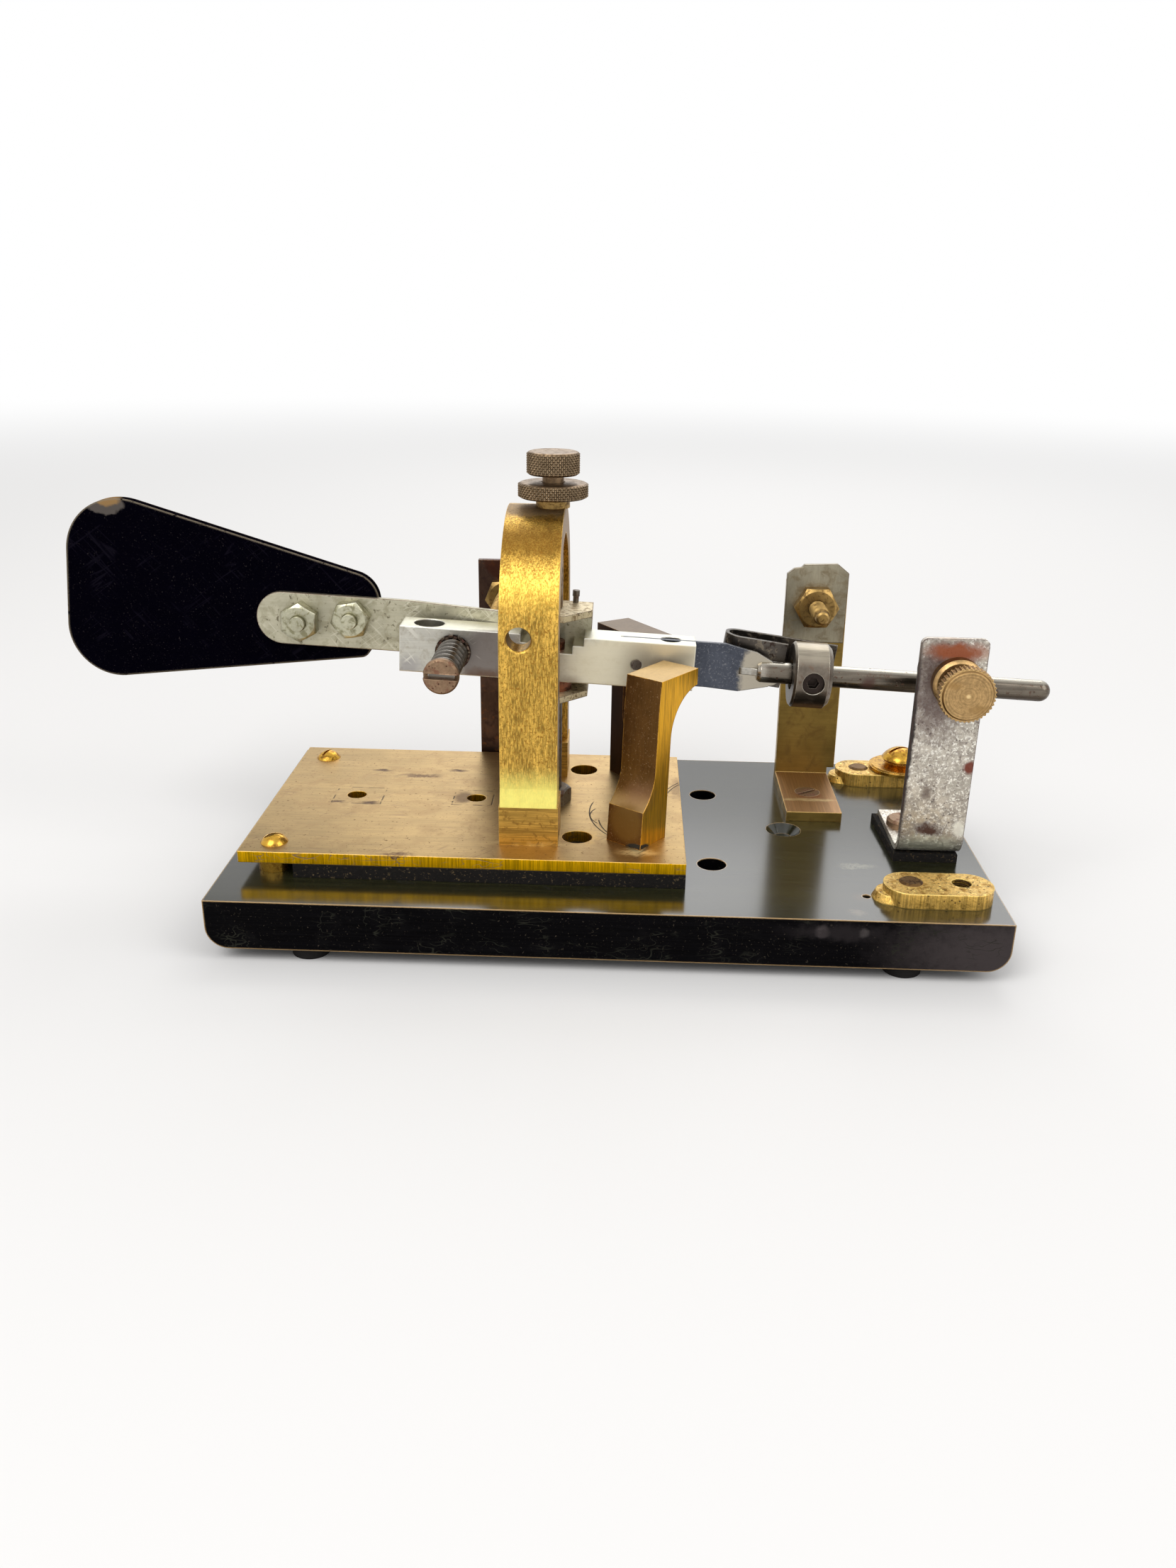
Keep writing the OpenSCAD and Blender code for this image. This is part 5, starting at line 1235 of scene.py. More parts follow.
GALVANISED = Finish(
    "galvanised_sheet", paint(192, 187, 164), 0.42, streaks=Streaks(Grain.ALONG_X, 0.010, 0.10), mottle=0.2,
    blotches=(Blotch(paint(166, 161, 138), 2.6, 0.30, 0.1), Blotch(paint(120, 114, 94), 1.2, 0.06, 0.05)),
    # Painted shade: a dark patch meant for the strip beside the bar.
    zones=(Zone((-33.5, -2.0, 60.0), (8.5, 9, 9.0), paint(104, 100, 80), 0.85, 2.5, 0.5, 0.0),),
    edge=paint(104, 72, 58), edge_width=0.45, edge_cover=0.85, edge_metal=0.4, scratch=paint(206, 202, 182))
YOKE_SHEET = Finish(
    "yoke_sheet", paint(226, 210, 172), 0.42, 0.6, streaks=Streaks(Grain.ALONG_X, 0.010, 0.10), mottle=0.2,
    blotches=(Blotch(paint(150, 130, 98), 1.4, 0.30, 0.08), Blotch(paint(86, 72, 58), 1.0, 0.08, 0.04)),
    edge=paint(96, 70, 54), edge_width=0.4, edge_cover=0.8, edge_metal=0.4)
FACING_SHEET = Finish(
    "facing_sheet", paint(172, 164, 142), 0.38, streaks=Streaks(Grain.ALONG_Z, 0.012, 0.15), mottle=0.25,
    blotches=(Blotch(paint(140, 128, 104), 2.6, 0.3, 0.1),),
    edge=paint(88, 66, 50), edge_width=0.5, edge_cover=0.8, edge_metal=0.4)
ZINC = Finish(
    "zinc_strip", paint(212, 204, 190), 0.38, streaks=Streaks(Grain.EVEN, 0.02, 0.14), mottle=0.25,
    blotches=(Blotch(paint(168, 160, 150), 2.2, 0.42, 0.08), Blotch(paint(246, 243, 234), 0.55, 0.28, 0.07),
              Blotch(paint(138, 128, 122), 0.9, 0.08, 0.04)),
    zones=(ON_DAMPER.zone(83.0, 55.0, 8.0, 15.0, paint(104, 86, 82), 0.85, 7.0, 0.3, 0.1, 0.7),
           ON_DAMPER.zone(86.0, 62.6, 8.5, 2.6, paint(156, 88, 56), 1.0, 3.0, 0.3, 0.2, 0.3),
           ON_DAMPER.zone(84.5, 65.8, 5.0, 0.9, paint(210, 196, 180), 0.8, 2.0, 0.3, 0.1),
           ON_DAMPER.zone(91.8, 37.1, 1.7, 1.8, paint(118, 60, 44), 1.0, 1.4, 0.5, 0.2, 0.2),
           ON_DAMPER.zone(83.2, 31.0, 1.5, 2.0, paint(128, 116, 108), 0.9, 2.0, 0.3, 0.1),
           # Painted shade: the dark strip down the bracket's left edge and side.
           ON_DAMPER.zone(78.4, 42.0, 0.9, 26.0, paint(60, 54, 52), 1.0, 1.2, 0.5, 0.1, 0.7),
           ON_DAMPER.zone(84.6, 22.4, 3.8, 1.8, paint(84, 58, 46), 1.0, 4.0, 0.3, 0.2, 0.4),
           ON_DAMPER.zone(91.2, 22.8, 1.6, 2.2, paint(246, 244, 232), 0.9, 2.5, 0.4, 0.1),
           Zone((85.0, -16.5, 18.8), (9.0, 4, 3.0), paint(228, 228, 208), 0.8, 3.5, 0.4, 0.1),
           Zone((81.6, -12.0, 15.8), (7.0, 6.0, 2), paint(214, 214, 204), 0.7, 2.0, 0.6, 0.1)),
    edge=paint(84, 62, 54), edge_width=0.5, edge_cover=0.75, edge_metal=0.4, pits=paint(120, 112, 104),
    pit_size=0.7, pit_cover=0.08)
ROD_STEEL = Finish(
    "rod_steel", paint(124, 115, 103), 0.22, streaks=Streaks(Grain.ALONG_X, 0.02, 0.35), mottle=0.3,
    # Painted highlight along the top of the rod, painted shade along its underside.
    facets=(Facet((0, 0.12, 0.80), paint(206, 200, 186), Streaks(Grain.ALONG_X, 0.02, 0.3), 0.2),
            Facet((0, -0.35, -0.9), paint(84, 74, 64), Streaks(Grain.ALONG_X, 0.02, 0.3), 0.3)),
    blotches=(Blotch(paint(88, 64, 50), 1.2, 0.16, 0.05, 0.2, 0.6),), pits=paint(74, 52, 42), pit_size=0.8,
    pit_cover=0.12,
    zones=(Zone((71.4, ROD_FRONT, 50.6), (2.2, 3, 2.2), paint(78, 48, 40), 0.8, 2.0, 0.2, 0.2, 0.4),
           Zone((47.0, ROD_FRONT, 52.2), (2.6, 4, 4), paint(186, 180, 168), 0.6, 1.5, 0.4, 0.0)),
    edge=paint(206, 200, 190), edge_width=0.2)
WEIGHT_STEEL = Finish(
    "weight_steel", paint(138, 127, 114), 0.30, streaks=Streaks(Grain.EVEN, 0.012, 0.2), mottle=0.3,
    # Painted light: the left face and the underside are painted darker as shade, the top lighter as a
    # highlight.
    facets=(Facet((-1, 0, 0), paint(92, 84, 76), Streaks(Grain.EVEN, 0.02, 0.3), 0.4),
            Facet((0, 0, 1), paint(176, 166, 148), Streaks(Grain.ALONG_X, 0.02, 0.3), 0.3),
            Facet((0, -0.3, -0.95), paint(92, 80, 68), Streaks(Grain.ALONG_X, 0.02, 0.3), 0.35)),
    blotches=(Blotch(paint(104, 86, 72), 1.6, 0.20, 0.06, 0.2, 0.7),), rings=(0.0, 0.0, 51.8),
    across=(0.0, 1.0, 1.0), edge=paint(206, 200, 186), edge_width=0.3, edge_cover=0.85)
NUT_STEEL = Finish(
    "nut_steel", paint(196, 193, 168), 0.32, streaks=Streaks(Grain.EVEN, 0.012, 0.14), mottle=0.2,
    blotches=(Blotch(paint(140, 136, 108), 1.6, 0.3, 0.08),), edge=paint(222, 220, 202), edge_width=0.2)
RUSTED = Finish(
    "rusted_steel", paint(152, 124, 98), 0.46, 0.9, streaks=Streaks(Grain.EVEN, 0.03, 0.25),
    blotches=(Blotch(paint(118, 80, 58), 1.4, 0.30, 0.06, 0.2, 0.3),), pits=paint(80, 50, 38), pit_size=0.6,
    pit_cover=0.15, edge=paint(166, 140, 112), edge_width=0.2)
THREAD_STEEL = Finish(
    "thread_steel", paint(120, 112, 102), 0.40, streaks=Streaks(Grain.EVEN, 0.015, 0.25),
    blotches=(Blotch(paint(92, 66, 50), 1.4, 0.25, 0.06, 0.2, 0.5),), groove=paint(44, 38, 36),
    edge=paint(176, 168, 156), edge_width=0.1)
COIL_STEEL = Finish(
    "coil_steel", paint(128, 122, 114), 0.26, streaks=Streaks(Grain.EVEN, 0.015, 0.2),
    # Painted shade: the lower left side of the thread is painted darker.
    facets=(Facet((-0.8, 0, -0.6), paint(66, 58, 54), Streaks(Grain.EVEN, 0.02, 0.3), 0.4),),
    groove=paint(12, 10, 10), edge=paint(230, 224, 212), edge_width=0.25, edge_cover=0.9)
DARK_PIN = Finish(
    "dark_pin", paint(150, 140, 128), 0.34, streaks=Streaks(Grain.EVEN, 0.02, 0.25),
    blotches=(Blotch(paint(80, 64, 54), 1.0, 0.3, 0.06, 0.2, 0.5),), edge=paint(70, 54, 46), edge_width=0.2,
    edge_cover=0.9)
WASHER_STEEL = Finish(
    "washer_steel", paint(96, 82, 70), 0.40, streaks=Streaks(Grain.EVEN, 0.02, 0.25),
    blotches=(Blotch(paint(84, 46, 36), 1.2, 0.30, 0.06, 0.2, 0.4),
              Blotch(paint(170, 160, 140), 0.8, 0.12, 0.04)),
    edge=paint(60, 44, 38), edge_width=0.15)
BLUED = Finish(
    "blued_steel", paint(84, 88, 98), 0.32, streaks=Streaks(Grain.EVEN, 0.006, 0.15), mottle=0.2,
    blotches=(Blotch(paint(118, 120, 126), 0.5, 0.16, 0.03),),
    zones=(Zone((49.5, 0.0, 51.5), (6.8, 3, 9), paint(176, 168, 152), 1.0, 3.5, 0.85, 0.0),),
    edge=paint(150, 150, 150), edge_width=0.25)
SPRING_BLUE = Finish(
    "spring_steel", paint(92, 86, 80), 0.32, streaks=Streaks(Grain.ALONG_X, 0.006, 0.18), mottle=0.3,
    blotches=(Blotch(paint(128, 118, 104), 1.8, 0.20, 0.05), Blotch(paint(62, 50, 44), 1.4, 0.18, 0.04)),
    edge=paint(150, 144, 134), edge_width=0.25)
BLACK_SCREW = Finish("black_steel", paint(58, 50, 46), 0.42, edge=paint(132, 122, 110), edge_width=0.15)
SOLDER = Finish("solder", paint(190, 186, 176), 0.36, streaks=Streaks(Grain.EVEN, 0.06, 0.25),
                edge_width=0.3)
COPPER = Finish("copper", paint(150, 96, 72), 0.38, streaks=Streaks(Grain.EVEN, 0.015, 0.2),
                blotches=(Blotch(paint(84, 58, 48), 1.2, 0.3),), edge_width=0.2)

# Lacquer, fibre, paper and rubber
LACQUER = Finish(
    "base_lacquer", paint(10, 9, 11), 0.34, 0.0, streaks=Streaks(Grain.ALONG_X, 0.02, 0.5),
    # Painted reflection: the top faces are painted olive grey for the sheen and the brass plate mirrored in
    # the varnish.
    facets=(Facet((0, 0, 1), paint(44, 44, 26), Streaks(Grain.ALONG_X, 0.02, 0.6), 0.34),),
    blotches=(Blotch(paint(16, 15, 16), 7.0, 0.06, 0.12, 0.1, 0.0),
              Blotch(paint(60, 54, 46), 0.5, 0.0, 0.02, 0.2, 0.0)),
    zones=(Zone((100.0, BASE_FRONT, 7.0), (34.0, 4, 12.0), paint(62, 56, 56), 1.0, 8.0, 0.3, 0.2, 0.0),
           ON_BASE_FRONT.zone(58.8, 11.1, 1.8, 1.8, paint(96, 88, 88), 0.9, 1.5, 0.3, 0.3, 0.0),
           ON_BASE_FRONT.zone(67.2, 11.1, 1.3, 1.3, paint(100, 94, 92), 0.9, 1.2, 0.3, 0.3, 0.0),
           ON_BASE_FRONT.zone(62.0, 11.0, 14.0, 2.6, paint(40, 36, 37), 0.8, 4.0, 0.2, 0.2, 0.0),
           ON_BASE_FRONT.zone(61.7, 2.4, 1.8, 0.9, paint(130, 112, 94), 1.0, 1.5, 0.3, 0.3, 0.0),
           ON_BASE.zone(69.9, -18.9, 5.4, 2.2, paint(120, 118, 100), 0.75, 5.0, 0.2, 0.3, 0.0),
           ON_BASE.zone(66.2, -40.9, 2.6, 1.9, paint(92, 84, 70), 0.9, 2.5, 0.2, 0.3, 0.0),
           ON_BASE.zone(69.0, -33.8, 3.4, 2.4, paint(74, 62, 44), 0.8, 2.0, 0.4, 0.3, 0.0)),
    edge=paint(214, 178, 128), edge_width=0.55, edge_cover=0.95, edge_metal=0.0, scratch=paint(40, 40, 34),
    scratch_turns=((0.0, 0.0, 0.7), (0.0, 0.0, -0.25)), shine=0.02, varnish=1.0)
PACKING = Finish(
    "packing_sheet", paint(26, 23, 21), 0.85, 0.0, streaks=Streaks(Grain.EVEN, 0.25, 0.4),
    blotches=(Blotch(paint(92, 78, 56), 0.6, 0.10, 0.02, 0.1, 0.0),), shine=0.2)
FIBRE = Finish(
    "paddle_fibre", paint(4, 3, 10), 0.24, 0.0, streaks=Streaks(Grain.ALONG_X, 0.004, 0.1),
    blotches=(Blotch(paint(44, 40, 40), 0.35, 0.003, 0.015, 0.2, 0.0),),
    zones=(ON_PADDLE.zone(-100.0, 84.6, 4.6, 2.3, paint(84, 78, 74), 1.0, 2.5, 0.8, 0.3, 0.0),
           ON_PADDLE.zone(-99.2, 85.6, 3.2, 1.5, paint(142, 112, 74), 1.0, 2.0, 0.6, 0.3, 0.0)),
    edge=paint(140, 128, 110), edge_width=0.9, edge_cover=0.75, edge_metal=0.0, scratch=paint(16, 14, 22),
    shine=0.0)
RUBBER = Finish("foot_rubber", paint(30, 28, 27), 0.8, 0.0, streaks=Streaks(Grain.EVEN, 0.03, 0.2),
                shine=0.2)
PLUG = Finish("plug_filler", paint(44, 44, 32), 0.5, 0.0, streaks=Streaks(Grain.EVEN, 0.06, 0.4),
              blotches=(Blotch(paint(96, 92, 76), 0.6, 0.12, 0.05, 0.1, 0.0),), shine=0.1, varnish=0.5)
FELT = Finish("disc_felt", paint(96, 88, 76), 0.95, 0.0, streaks=Streaks(Grain.EVEN, 0.25, 0.3))


class Assembly:
    """A group of CAD nodes and new pieces that belong together."""

    def dress(self, finish: Finish, *nodes: str) -> None:
        """Give CAD nodes their finish.

        Args:
            finish: The finish.
            nodes: The names of the nodes.
        """
        for name in nodes:
            for holder in frame["nodes"][name].material_slots:
                holder.material = finish.build()
            log.info("dressed %s in %s", name, finish.name)


@dataclass
class Base(Assembly):
    """The black block, its feet, the filled hole and the packing sheet."""

    def build(self) -> None:
        """Dress the base."""
        self.dress(LACQUER, "base")
        self.dress(RUBBER, "feet")
        self.dress(PLUG, "base_plug")
        self.dress(PACKING, "plate_pad")


@dataclass
class Plate(Assembly):
    """The brass plate, with its screws and spacers."""

    def build(self) -> None:
        """Dress the plate."""
        self.dress(PLATE, "mounting_plate")
        self.dress(SCREW_BRASS, "plate_screws", "plate_spacers")


@dataclass
class Hoop(Assembly):
    """The hoop over the lever, with the knurled pivot screw and its lock nut.

    Attributes:
        axis_x: Station of the pivot axis.
        nut_z: Height of the lock nut's underside.
        nut_r: Its radius.
        nut_h: Its height.
        knob_z: Height of the knob's underside.
        knob_r: Its radius.
        knob_h: Its height.
        shank_r: Radius of the screw.
        shoulder_z: Height of the shoulder over the pivot.
        pivot_r: Radius of the pivot.
        pivot_z: Height of the pivot's end.
        tooth: Width of one diamond of the knurl.
        groove: Depth of the knurl.
        bevel: Bevel at the pivot's tip and at the nut's bore.
        play: Play of the nut on its screw.
        knob_top: How far in and how far down each corner of the knob's top lies, from its rim.
    """

    axis_x: float = 1.0987
    nut_z: float = 89.66
    nut_r: float = 7.55
    nut_h: float = 3.2
    knob_z: float = 94.46
    knob_r: float = 5.7
    knob_h: float = 4.8
    shank_r: float = 2.3
    shoulder_z: float = 66.06
    pivot_r: float = 1.5
    pivot_z: float = 57.06
    tooth: float = 0.95
    groove: float = 0.28
    bevel: float = 0.3
    play: float = 0.05
    knob_top: tuple[Pair, ...] = ((0.45, 0.12), (0.8, 0.0), (1.6, 0.06))

    def build(self) -> None:
        """Dress the hoop and make its two knurled pieces."""
        self.dress(HOOP, "hoop")
        self.dress(FOOT_BLOCK, "hoop_feet")
        self.dress(STUD_BRASS, "pivot_boss")
        self.dress(THREAD_STEEL, "hoop_screws", "lower_pivot_screw", "lower_pivot_nut")
        self._knob()
        self._nut()

    def _band(self, radius: float, low: float, high: float) -> tuple[int, list[Pair]]:
        """Lay out a knurled band.

        Args:
            radius: Its radius.
            low: Height of its first row.
            high: Height of its last row.

        Returns:
            The number of diamonds round it, and one corner for each row.
        """
        teeth = round(TURN * radius / self.tooth)
        rows = round((high - low) / self.tooth * 2) + 1
        return teeth, [(radius, low + (high - low) * row / (rows - 1)) for row in range(rows)]

    def _knob(self) -> None:
        """Make the pivot screw with its knob."""
        under, rim, dish = 0.45, 0.5, 0.1
        foot_in = 0.6
        top = self.knob_z + self.knob_h
        low, high = self.knob_z + under, top - rim
        teeth, band = self._band(self.knob_r, low, high)
        outline = [(0, self.pivot_z), (self.pivot_r - self.bevel, self.pivot_z),
                   (self.pivot_r, self.pivot_z + self.bevel), (self.pivot_r, self.shoulder_z),
                   (self.shank_r, self.shoulder_z), (self.shank_r, self.knob_z),
                   (self.knob_r - foot_in, self.knob_z), *band,
                   *((self.knob_r - inward, top - down) for inward, down in self.knob_top),
                   (0, top - dish)]
        piece = Workpiece()
        verts = piece.turned(outline, 2 * teeth)
        piece.knurl(verts, self.knob_r, low, high, teeth, len(band), self.groove)
        piece.placed(Matrix.Translation((self.axis_x, 0, 0)))
        piece.done("knurled_pivot_screw", KNURLED, "upper_pivot", "knob_brass", ("pivot_screw",))

    def _nut(self) -> None:
        """Make the lock nut."""
        rim, mouth = 0.4, 0.4
        foot_bevel = 0.2
        foot_in, edge_in, top_in = 0.7, 0.5, 0.9
        edge_down = 0.1
        bottom, top = self.nut_z, self.nut_z + self.nut_h
        low, high = bottom + rim, top - rim
        teeth, band = self._band(self.nut_r, low, high)
        bore = self.shank_r + self.play
        outline = [(bore, bottom + foot_bevel), (bore + mouth, bottom), (self.nut_r - foot_in, bottom),
                   *band, (self.nut_r - edge_in, top - edge_down), (self.nut_r - top_in, top),
                   (bore + mouth, top), (bore, top - self.bevel)]
        piece = Workpiece()
        verts = piece.turned(outline, 2 * teeth, closed=True)
        piece.knurl(verts, self.nut_r, low, high, teeth, len(band), self.groove)
        piece.placed(Matrix.Translation((self.axis_x, 0, 0)))
        piece.done("knurled_lock_nut", KNURLED, "upper_lock_nut", "knob_brass", ("pivot_lock_nut",))


@dataclass
class StopPosts(Assembly):
    """The two brass stop posts."""

    def build(self) -> None:
        """Dress the posts."""
        self.dress(POST, "front_stop_post")
        self.dress(SHADED_POST, "rear_stop_post")
        self.dress(THREAD_STEEL, "post_screws")


@dataclass
class ThreadedStud:
    """A threaded contact stud, as long as its CAD node.

    Attributes:
        node: The CAD node that it stands for.
        body: The body that it rides on.
        radius: Radius over the thread.
        depth: Depth of the thread.
        pitch: Pitch of the thread.
        nose: Length of the plain nose.
        inset: How far the nose lies inside the core.
        bevel: Bevel of the nose's tip.
        sunk: How far the ridge's foot lies inside the core.
    """

    STEPS: ClassVar[int] = 48

    node: str
    body: str
    radius: float = 2.05
    depth: float = 0.42
    pitch: float = 0.8
    nose: float = 1.4
    inset: float = 0.1
    bevel: float = 0.35
    sunk: float = 0.15

    def build(self) -> None:
        """Make the stud."""
        low, high = (millimetres(corner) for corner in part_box(self.node))
        length = high.y - low.y
        core = self.radius - self.depth
        tip_in = 0.5
        slope = 0.2
        thread_short = 0.25
        piece = Workpiece()
        piece.turned([(0, 0), (core - tip_in, 0), (core - self.inset, self.bevel),
                      (core - self.inset, self.nose), (core, self.nose + slope),
                      (core, length - self.inset), (core - slope, length), (0, length)], self.STEPS)
        piece.thread(core - self.sunk, self.radius, self.nose, length - thread_short, self.pitch)
        middle = (low + high) / 2
        piece.placed(Seat(Vector((middle.x, low.y, middle.z)), Vector((0, 1, 0))).matrix())
        piece.done("threaded_" + self.node, STUD_BRASS, self.body, "bright_brass", (self.node,))


@dataclass
class Contacts(Assembly):
    """The dot and dash contacts: two brackets, their studs and nuts."""

    dot: ThreadedStud = field(default_factory=lambda: ThreadedStud("dot_stud", "dot_contact_screw"))
    dash: ThreadedStud = field(default_factory=lambda: ThreadedStud("dash_stud", "dash_contact_screw"))

    def build(self) -> None:
        """Dress the brackets and make the studs."""
        self.dress(BRACKET_BRASS, "dot_bracket")
        self.dress(FACING_SHEET, "dot_bracket_strip")
        self.dress(RUSTED, "dot_bracket_screw")
        self.dress(STUD_BRASS, "dot_stud_nut", "dash_stud_nut")
        self.dress(PATINA, "dash_bracket")
        self.dress(THREAD_STEEL, "dash_bracket_screw")
        self.dot.build()
        self.dash.build()


@dataclass
class Damper(Assembly):
    """The damper's bracket, thumb screw and disc."""

    def build(self) -> None:
        """Dress the damper."""
        self.dress(ZINC, "damper_bracket")
        self.dress(PACKING, "damper_bracket_pad")
        self.dress(RUSTED, "damper_bracket_screw")
        self.dress(THUMB, "thumb_screw", "damper_lock_nut")
        self.dress(FELT, "damper_disc")


@dataclass
class Terminals(Assembly):
    """The two cast terminals with their rivets, screw and washer.

    Attributes:
        hole: Foot of the front terminal's open hole.
        hole_r: Radius of the hole.
        hole_h: Its depth.
        pitch: Pitch of its thread.
        sunk: How far the ridge's foot lies in the wall.
        proud: How far the ridge stands out of the wall.
    """

    hole: Point = (88.7987, -32.8, 13.9)
    hole_r: float = 2.05
    hole_h: float = 3.4
    pitch: float = 0.8
    sunk: float = 0.12
    proud: float = 0.26

    def build(self) -> None:
        """Dress the terminals."""
        self.dress(CAST_BRASS, "front_terminal", "rear_terminal")
        self.dress(DULL_BRASS, "terminal_rivets")
        self.dress(SCREW_BRASS, "terminal_screw", "terminal_washer")
        self._hole_thread()

    def _hole_thread(self) -> None:
        """Wind the thread in the front terminal's hole."""
        piece = Workpiece()
        piece.thread(self.hole_r + self.sunk, self.hole_r - self.proud, 0.0, self.hole_h, self.pitch)
        piece.placed(Matrix.Translation(self.hole))
        piece.done("terminal_hole_thread", DARK_HOLE, "key_base", "terminal_brass")


@dataclass
class Lever(Assembly):
    """The aluminium bar with its strip, paddle, yoke and adjusting screw.

    Attributes:
        adjust_x: Station of the adjusting screw in the lever's frame.
        head_y: Offset of its head's front.
        end_y: Offset of its nose.
        adjust_r: Radius over its thread.
        head_t: Thickness of its head.
        thread_pitch: Pitch of its thread.
        bar_y: Half of the bar's width.
        washer_r: Radius over the star washer's teeth.
        tooth_l: Length of its teeth.
        teeth: Number of its teeth.
        twist: How far each tooth is twisted, in radians.
        washer_low: Where the washer's flat starts, from the bar.
        washer_high: Where it ends.
        play: Play of the washer on its screw.
        core_in: Depth of the adjusting screw's thread.
        pin_r: Radius of the plain pin past the thread.
        sunk: How far the ridge's foot lies inside the core.
    """

    adjust_x: float = -21.7
    head_y: float = -23.2
    end_y: float = 4.6
    adjust_r: float = 3.4
    head_t: float = 1.6
    thread_pitch: float = 2.8
    bar_y: float = 4.0
    washer_r: float = 4.95
    tooth_l: float = 1.0
    teeth: int = 12
    twist: float = 0.5
    washer_low: float = 0.22
    washer_high: float = 0.78
    play: float = 0.05
    core_in: float = 0.62
    pin_r: float = 1.4
    sunk: float = 0.15

    def build(self) -> None:
        """Dress the lever and make its screws and washer."""
        self.dress(ALUMINIUM, "lever_bar")
        self.dress(GALVANISED, "lever_strip")
        self.dress(YOKE_SHEET, "yoke")
        self.dress(FIBRE, "paddle")
        self.dress(COPPER, "yoke_bush", "pivot_cup")
        self.dress(DARK_PIN, "spring_pin")
        self.dress(THREAD_STEEL, "yoke_screws")
        self._bolts()
        self._star_washer()
        self._adjuster()

    def _bolts(self) -> None:
        """Round the edges of the paddle's screws and nuts."""
        segments = 3
        for node, width in (("paddle_screws", 0.42), ("paddle_nuts", 0.16)):
            piece = Workpiece.from_node(node)
            piece.rounded(width, segments)
            piece.done("rounded_" + node, NUT_STEEL, "lever", "screw_steel", (node,))

    def _star_washer(self) -> None:
        """Make the toothed washer, each tooth twisted."""
        piece = Workpiece()
        body = self.washer_r - self.tooth_l
        bore = self.adjust_r + self.play
        near = 0.1
        piece.turned([(bore, self.washer_low), (body, self.washer_low), (body, self.washer_high),
                      (bore, self.washer_high)], 2 * self.teeth, closed=True)
        piece.bm.normal_update()
        outer = [f for f in piece.bm.faces if f.calc_center_median().xy.length > body - near]
        outer.sort(key=lambda f: math.atan2(*f.calc_center_median().xy))
        made = bmesh.ops.extrude_discrete_faces(piece.bm, faces=outer[::2])["faces"]
        piece.bm.normal_update()
        for face in made:
            way = face.normal.copy()
            bmesh.ops.translate(piece.bm, verts=face.verts, vec=way * self.tooth_l)
            bmesh.ops.rotate(piece.bm, verts=face.verts, cent=face.calc_center_median(),
                             matrix=Matrix.Rotation(self.twist, 3, way))
        seat = Seat(Vector((self.adjust_x, -self.bar_y, 0)), Vector((0, -1, 0)))
        piece.placed(lever_matrix() @ seat.matrix())
        piece.done("twisted_star_washer", WASHER_STEEL, "lever", "dark_brass", ("star_washer",))

    def _adjuster(self) -> None:
        """Make the adjusting screw with its slotted head."""
        overlap = 0.2
        edge = 0.12
        tip = 0.3
        length = self.end_y - self.head_y
        core = self.adjust_r - self.core_in
        seat = Seat(Vector((self.adjust_x, self.head_y, 0)), Vector((0, 1, 0)))
        place = lever_matrix() @ seat.matrix()
        head = Workpiece.from_node("adjusting_screw")
        head.cut(place @ Vector((0, 0, self.head_t - overlap)), Vector((0, 1, 0)))
        head.rounded(edge)
        head.done("adjusting_screw_head", RUSTED, "adjuster", "worn_steel")
        shank = Workpiece()
        shaft_end = self.bar_y - self.head_y
        start = self.head_t - 2 * overlap
        shank.turned([(0, start), (core, start), (core, shaft_end), (self.pin_r, shaft_end),
                      (self.pin_r, length - tip), (self.pin_r - tip, length), (0, length)],
                     ThreadedStud.STEPS)
        shank.thread(core - self.sunk, self.adjust_r, self.head_t - tip, shaft_end, self.thread_pitch)
        shank.placed(place)
        shank.done("adjusting_screw_thread", COIL_STEEL, "adjuster", "worn_steel", ("adjusting_screw",))


@dataclass
class VibratingArm(Assembly):
    """The leaf spring with its rod, weight and dot spring."""

    def build(self) -> None:
        """Dress the vibrating arm."""
        self.dress(BLUED, "vibrator_spring")
        self.dress(SOLDER, "solder_joint")
        self.dress(ROD_STEEL, "pendulum_rod")
        self.dress(SPRING_BLUE, "dot_spring")
        self.dress(STUD_BRASS, "dot_contact")
        self.dress(WEIGHT_STEEL, "weight")
        self.dress(BLACK_SCREW, "weight_set_screw")


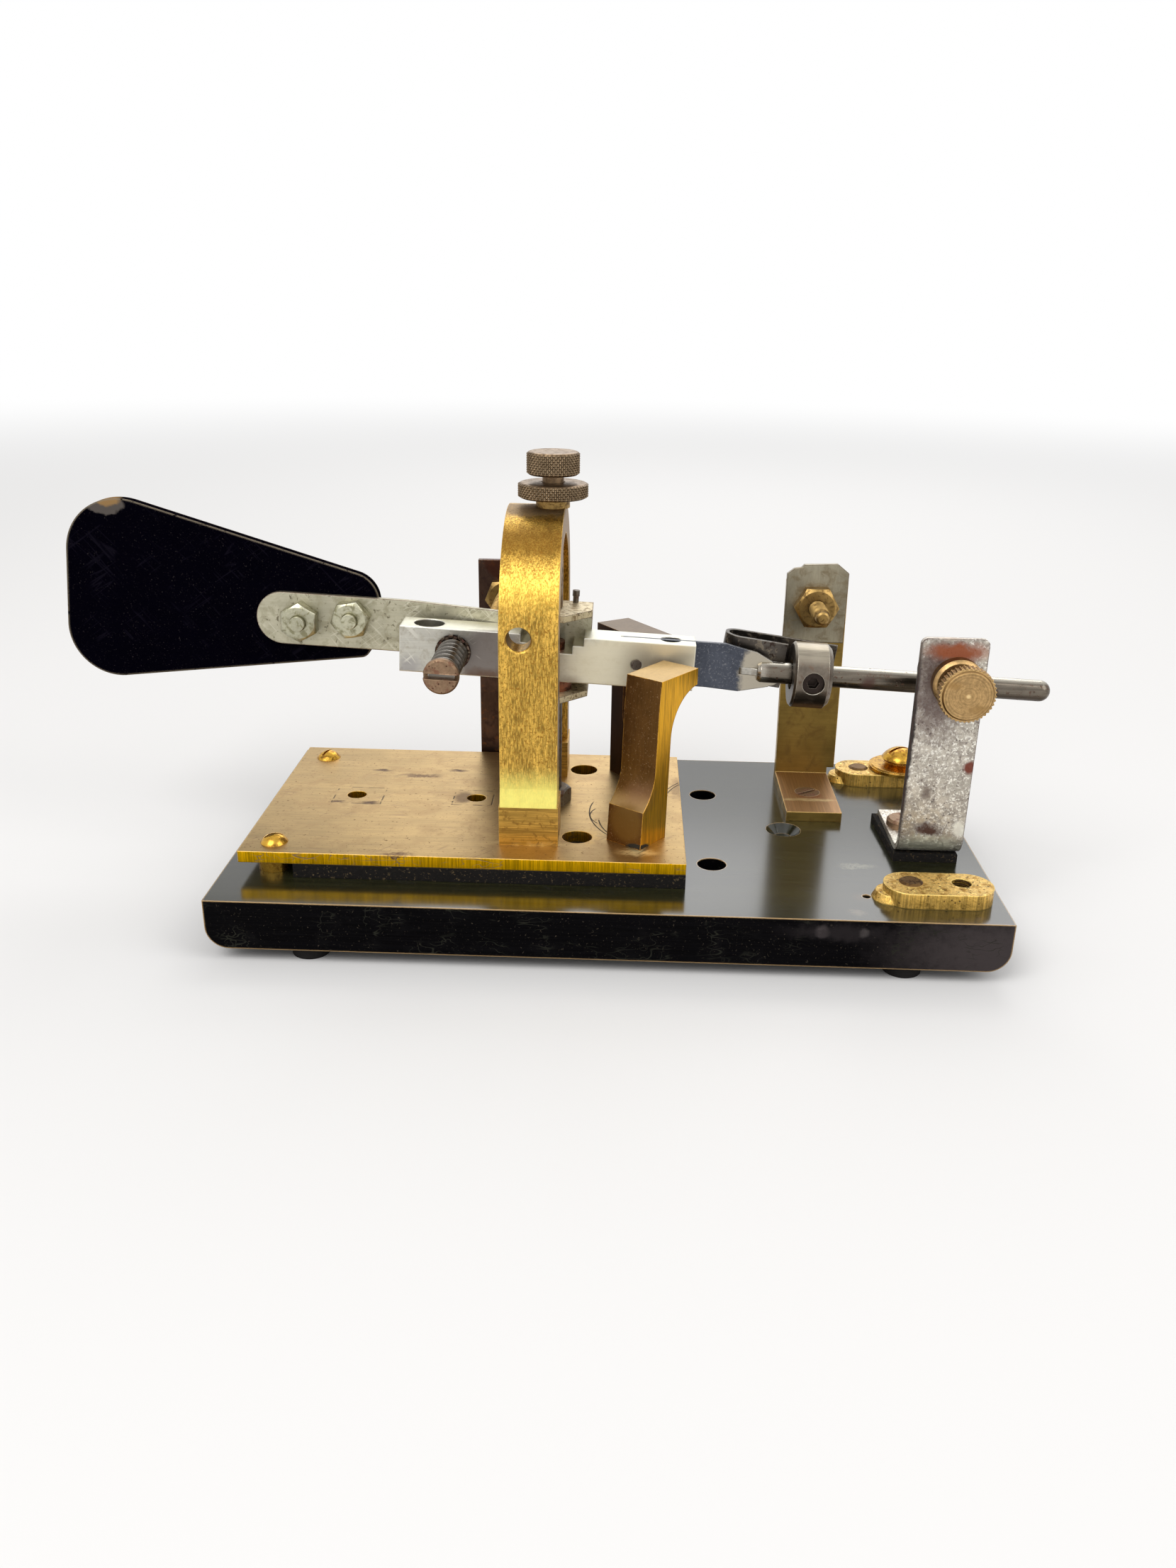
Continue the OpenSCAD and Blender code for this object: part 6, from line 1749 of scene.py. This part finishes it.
@dataclass
class Studio:
    """The floor, the light and the camera.

    Attributes:
        place: The camera's place in metres.
        yaw: Its turn from +Y, in degrees.
        pitch: Its dip, in degrees.
        roll: Its roll, in degrees.
        lens: Its focal length in millimetres.
        sensor: Height and width of its sensor in millimetres.
        floor_r: Radius of the floor in metres.
        fade_in: Distance from the middle where the floor starts to fade, in metres.
        fade_out: Distance where it has faded.
        paper: The floor's linear colour.
        sky: Strength of the sky as a light.
        white: Strength of the sky as the camera sees it.
        aim: Where the lamps point, in metres.
    """

    place: Point = (0.0172987, -0.2677, 0.1317)
    yaw: float = -1.65
    pitch: float = 21.90
    roll: float = 0.98
    lens: float = 28.48
    sensor: float = 36.0
    floor_r: float = 3.0
    fade_in: float = 0.25
    fade_out: float = 1.4
    paper: Colour = (0.80, 0.79, 0.78)
    sky: float = 0.62
    white: float = 1.0
    aim: Point = (0.0, 0.0, 0.04)

    def build(self) -> None:
        """Make the studio."""
        bpy.context.scene.view_settings.view_transform = "Standard"
        self._camera()
        self._world()
        self._floor()
        self._lamp("key", (-0.35, -0.55, 0.75), 0.55, 4.2)
        self._lamp("fill", (0.6, -0.3, 0.55), 0.5, 1.6)
        self._lamp("back", (0.1, 0.6, 0.6), 0.6, 2.0)

    def _camera(self) -> None:
        """Set the camera at the photograph's viewing angle."""
        yaw, pitch, roll = (math.radians(a) for a in (self.yaw, self.pitch, self.roll))
        forward = Vector((math.sin(yaw) * math.cos(pitch), math.cos(yaw) * math.cos(pitch),
                          -math.sin(pitch)))
        level = Vector((math.cos(yaw), -math.sin(yaw), 0))
        upward = level.cross(forward)
        right = level * math.cos(roll) + upward * math.sin(roll)
        up = upward * math.cos(roll) - level * math.sin(roll)
        data = bpy.data.cameras.new("camera")
        data.sensor_fit = "VERTICAL"
        data.sensor_height = self.sensor
        data.sensor_width = self.sensor
        data.lens = self.lens
        data.clip_start, data.clip_end = 0.01, 20
        camera = bpy.data.objects.new("camera", data)
        turn = Matrix((right, up, -forward)).transposed().to_4x4()
        camera.matrix_world = Matrix.Translation(self.place) @ turn
        bpy.context.scene.collection.objects.link(camera)
        bpy.context.scene.camera = camera

    @staticmethod
    def _seen(graph: Graph) -> bpy.types.NodeSocket:
        """Tell what the camera sees, directly, in a reflection or through glass.

        Args:
            graph: The graph to wire it in.

        Returns:
            A socket that is 1 for it and 0 for the rest.
        """
        light = graph.node("LightPath").outputs
        straight = graph.math("MAXIMUM", light["Is Camera Ray"], light["Is Glossy Ray"])
        return graph.math("MAXIMUM", straight, light["Is Transmission Ray"])

    def _world(self) -> None:
        """Make a soft sky that looks white."""
        world = bpy.data.worlds.new("studio")
        bpy.context.scene.world = world
        world.use_nodes = True
        world.node_tree.nodes.clear()
        graph = Graph(world.node_tree)
        strength = graph.plus(graph.times(self._seen(graph), self.white - self.sky), self.sky)
        shader = graph.node("Background", None, Color=(1.0, 1.0, 1.0), Strength=strength)
        graph.output("OutputWorld", shader)

    def _floor(self) -> None:
        """Make a pale floor that fades into the background."""
        piece = bmesh.new()
        bmesh.ops.create_circle(piece, cap_ends=True, segments=96, radius=self.floor_r)
        mesh = bpy.data.meshes.new("floor")
        piece.to_mesh(mesh)
        piece.free()
        floor = bpy.data.objects.new("floor", mesh)
        bpy.context.scene.collection.objects.link(floor)
        material = bpy.data.materials.new("pale_floor")
        material.use_nodes = True
        material.node_tree.nodes.clear()
        graph = Graph(material.node_tree)
        distance = graph.number("LENGTH", graph.node("TexCoord").outputs["Object"])
        fade = graph.times(graph.step(distance, self.fade_in, self.fade_out), self._seen(graph))
        paper = graph.node("BsdfDiffuse", None, Color=self.paper)
        glow = graph.node("Emission", None, Color=(1.0, 1.0, 1.0), Strength=self.white)
        mix = graph.node("MixShader")
        for socket, source in zip(mix.inputs, (fade, paper.outputs[0], glow.outputs[0])):
            graph.tree.links.new(source, socket)
        graph.output("OutputMaterial", mix)
        mesh.materials.append(material)

    def _lamp(self, name: str, place: Point, size: float, power: float) -> None:
        """Hang one soft square lamp.

        Args:
            name: Its name.
            place: Where it hangs, in metres.
            size: Its side in metres.
            power: Its power in watts.
        """
        data = bpy.data.lights.new(name, "AREA")
        data.size = size
        data.energy = power
        lamp = bpy.data.objects.new(name, data)
        lamp.location = place
        way = Vector(self.aim) - Vector(place)
        lamp.rotation_euler = way.to_track_quat("-Z", "Y").to_euler()
        bpy.context.scene.collection.objects.link(lamp)


def main() -> None:
    """Build and dress every assembly, then the studio."""
    logging.basicConfig(level=logging.INFO, format="%(message)s")
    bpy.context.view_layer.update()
    for assembly in (Base(), Plate(), Hoop(), StopPosts(), Contacts(), Damper(), Terminals(), Lever(),
                     VibratingArm()):
        assembly.build()
        log.info("built %s", type(assembly).__name__)
    Studio().build()
    bpy.context.view_layer.update()


if __name__ == "__main__":
    main()
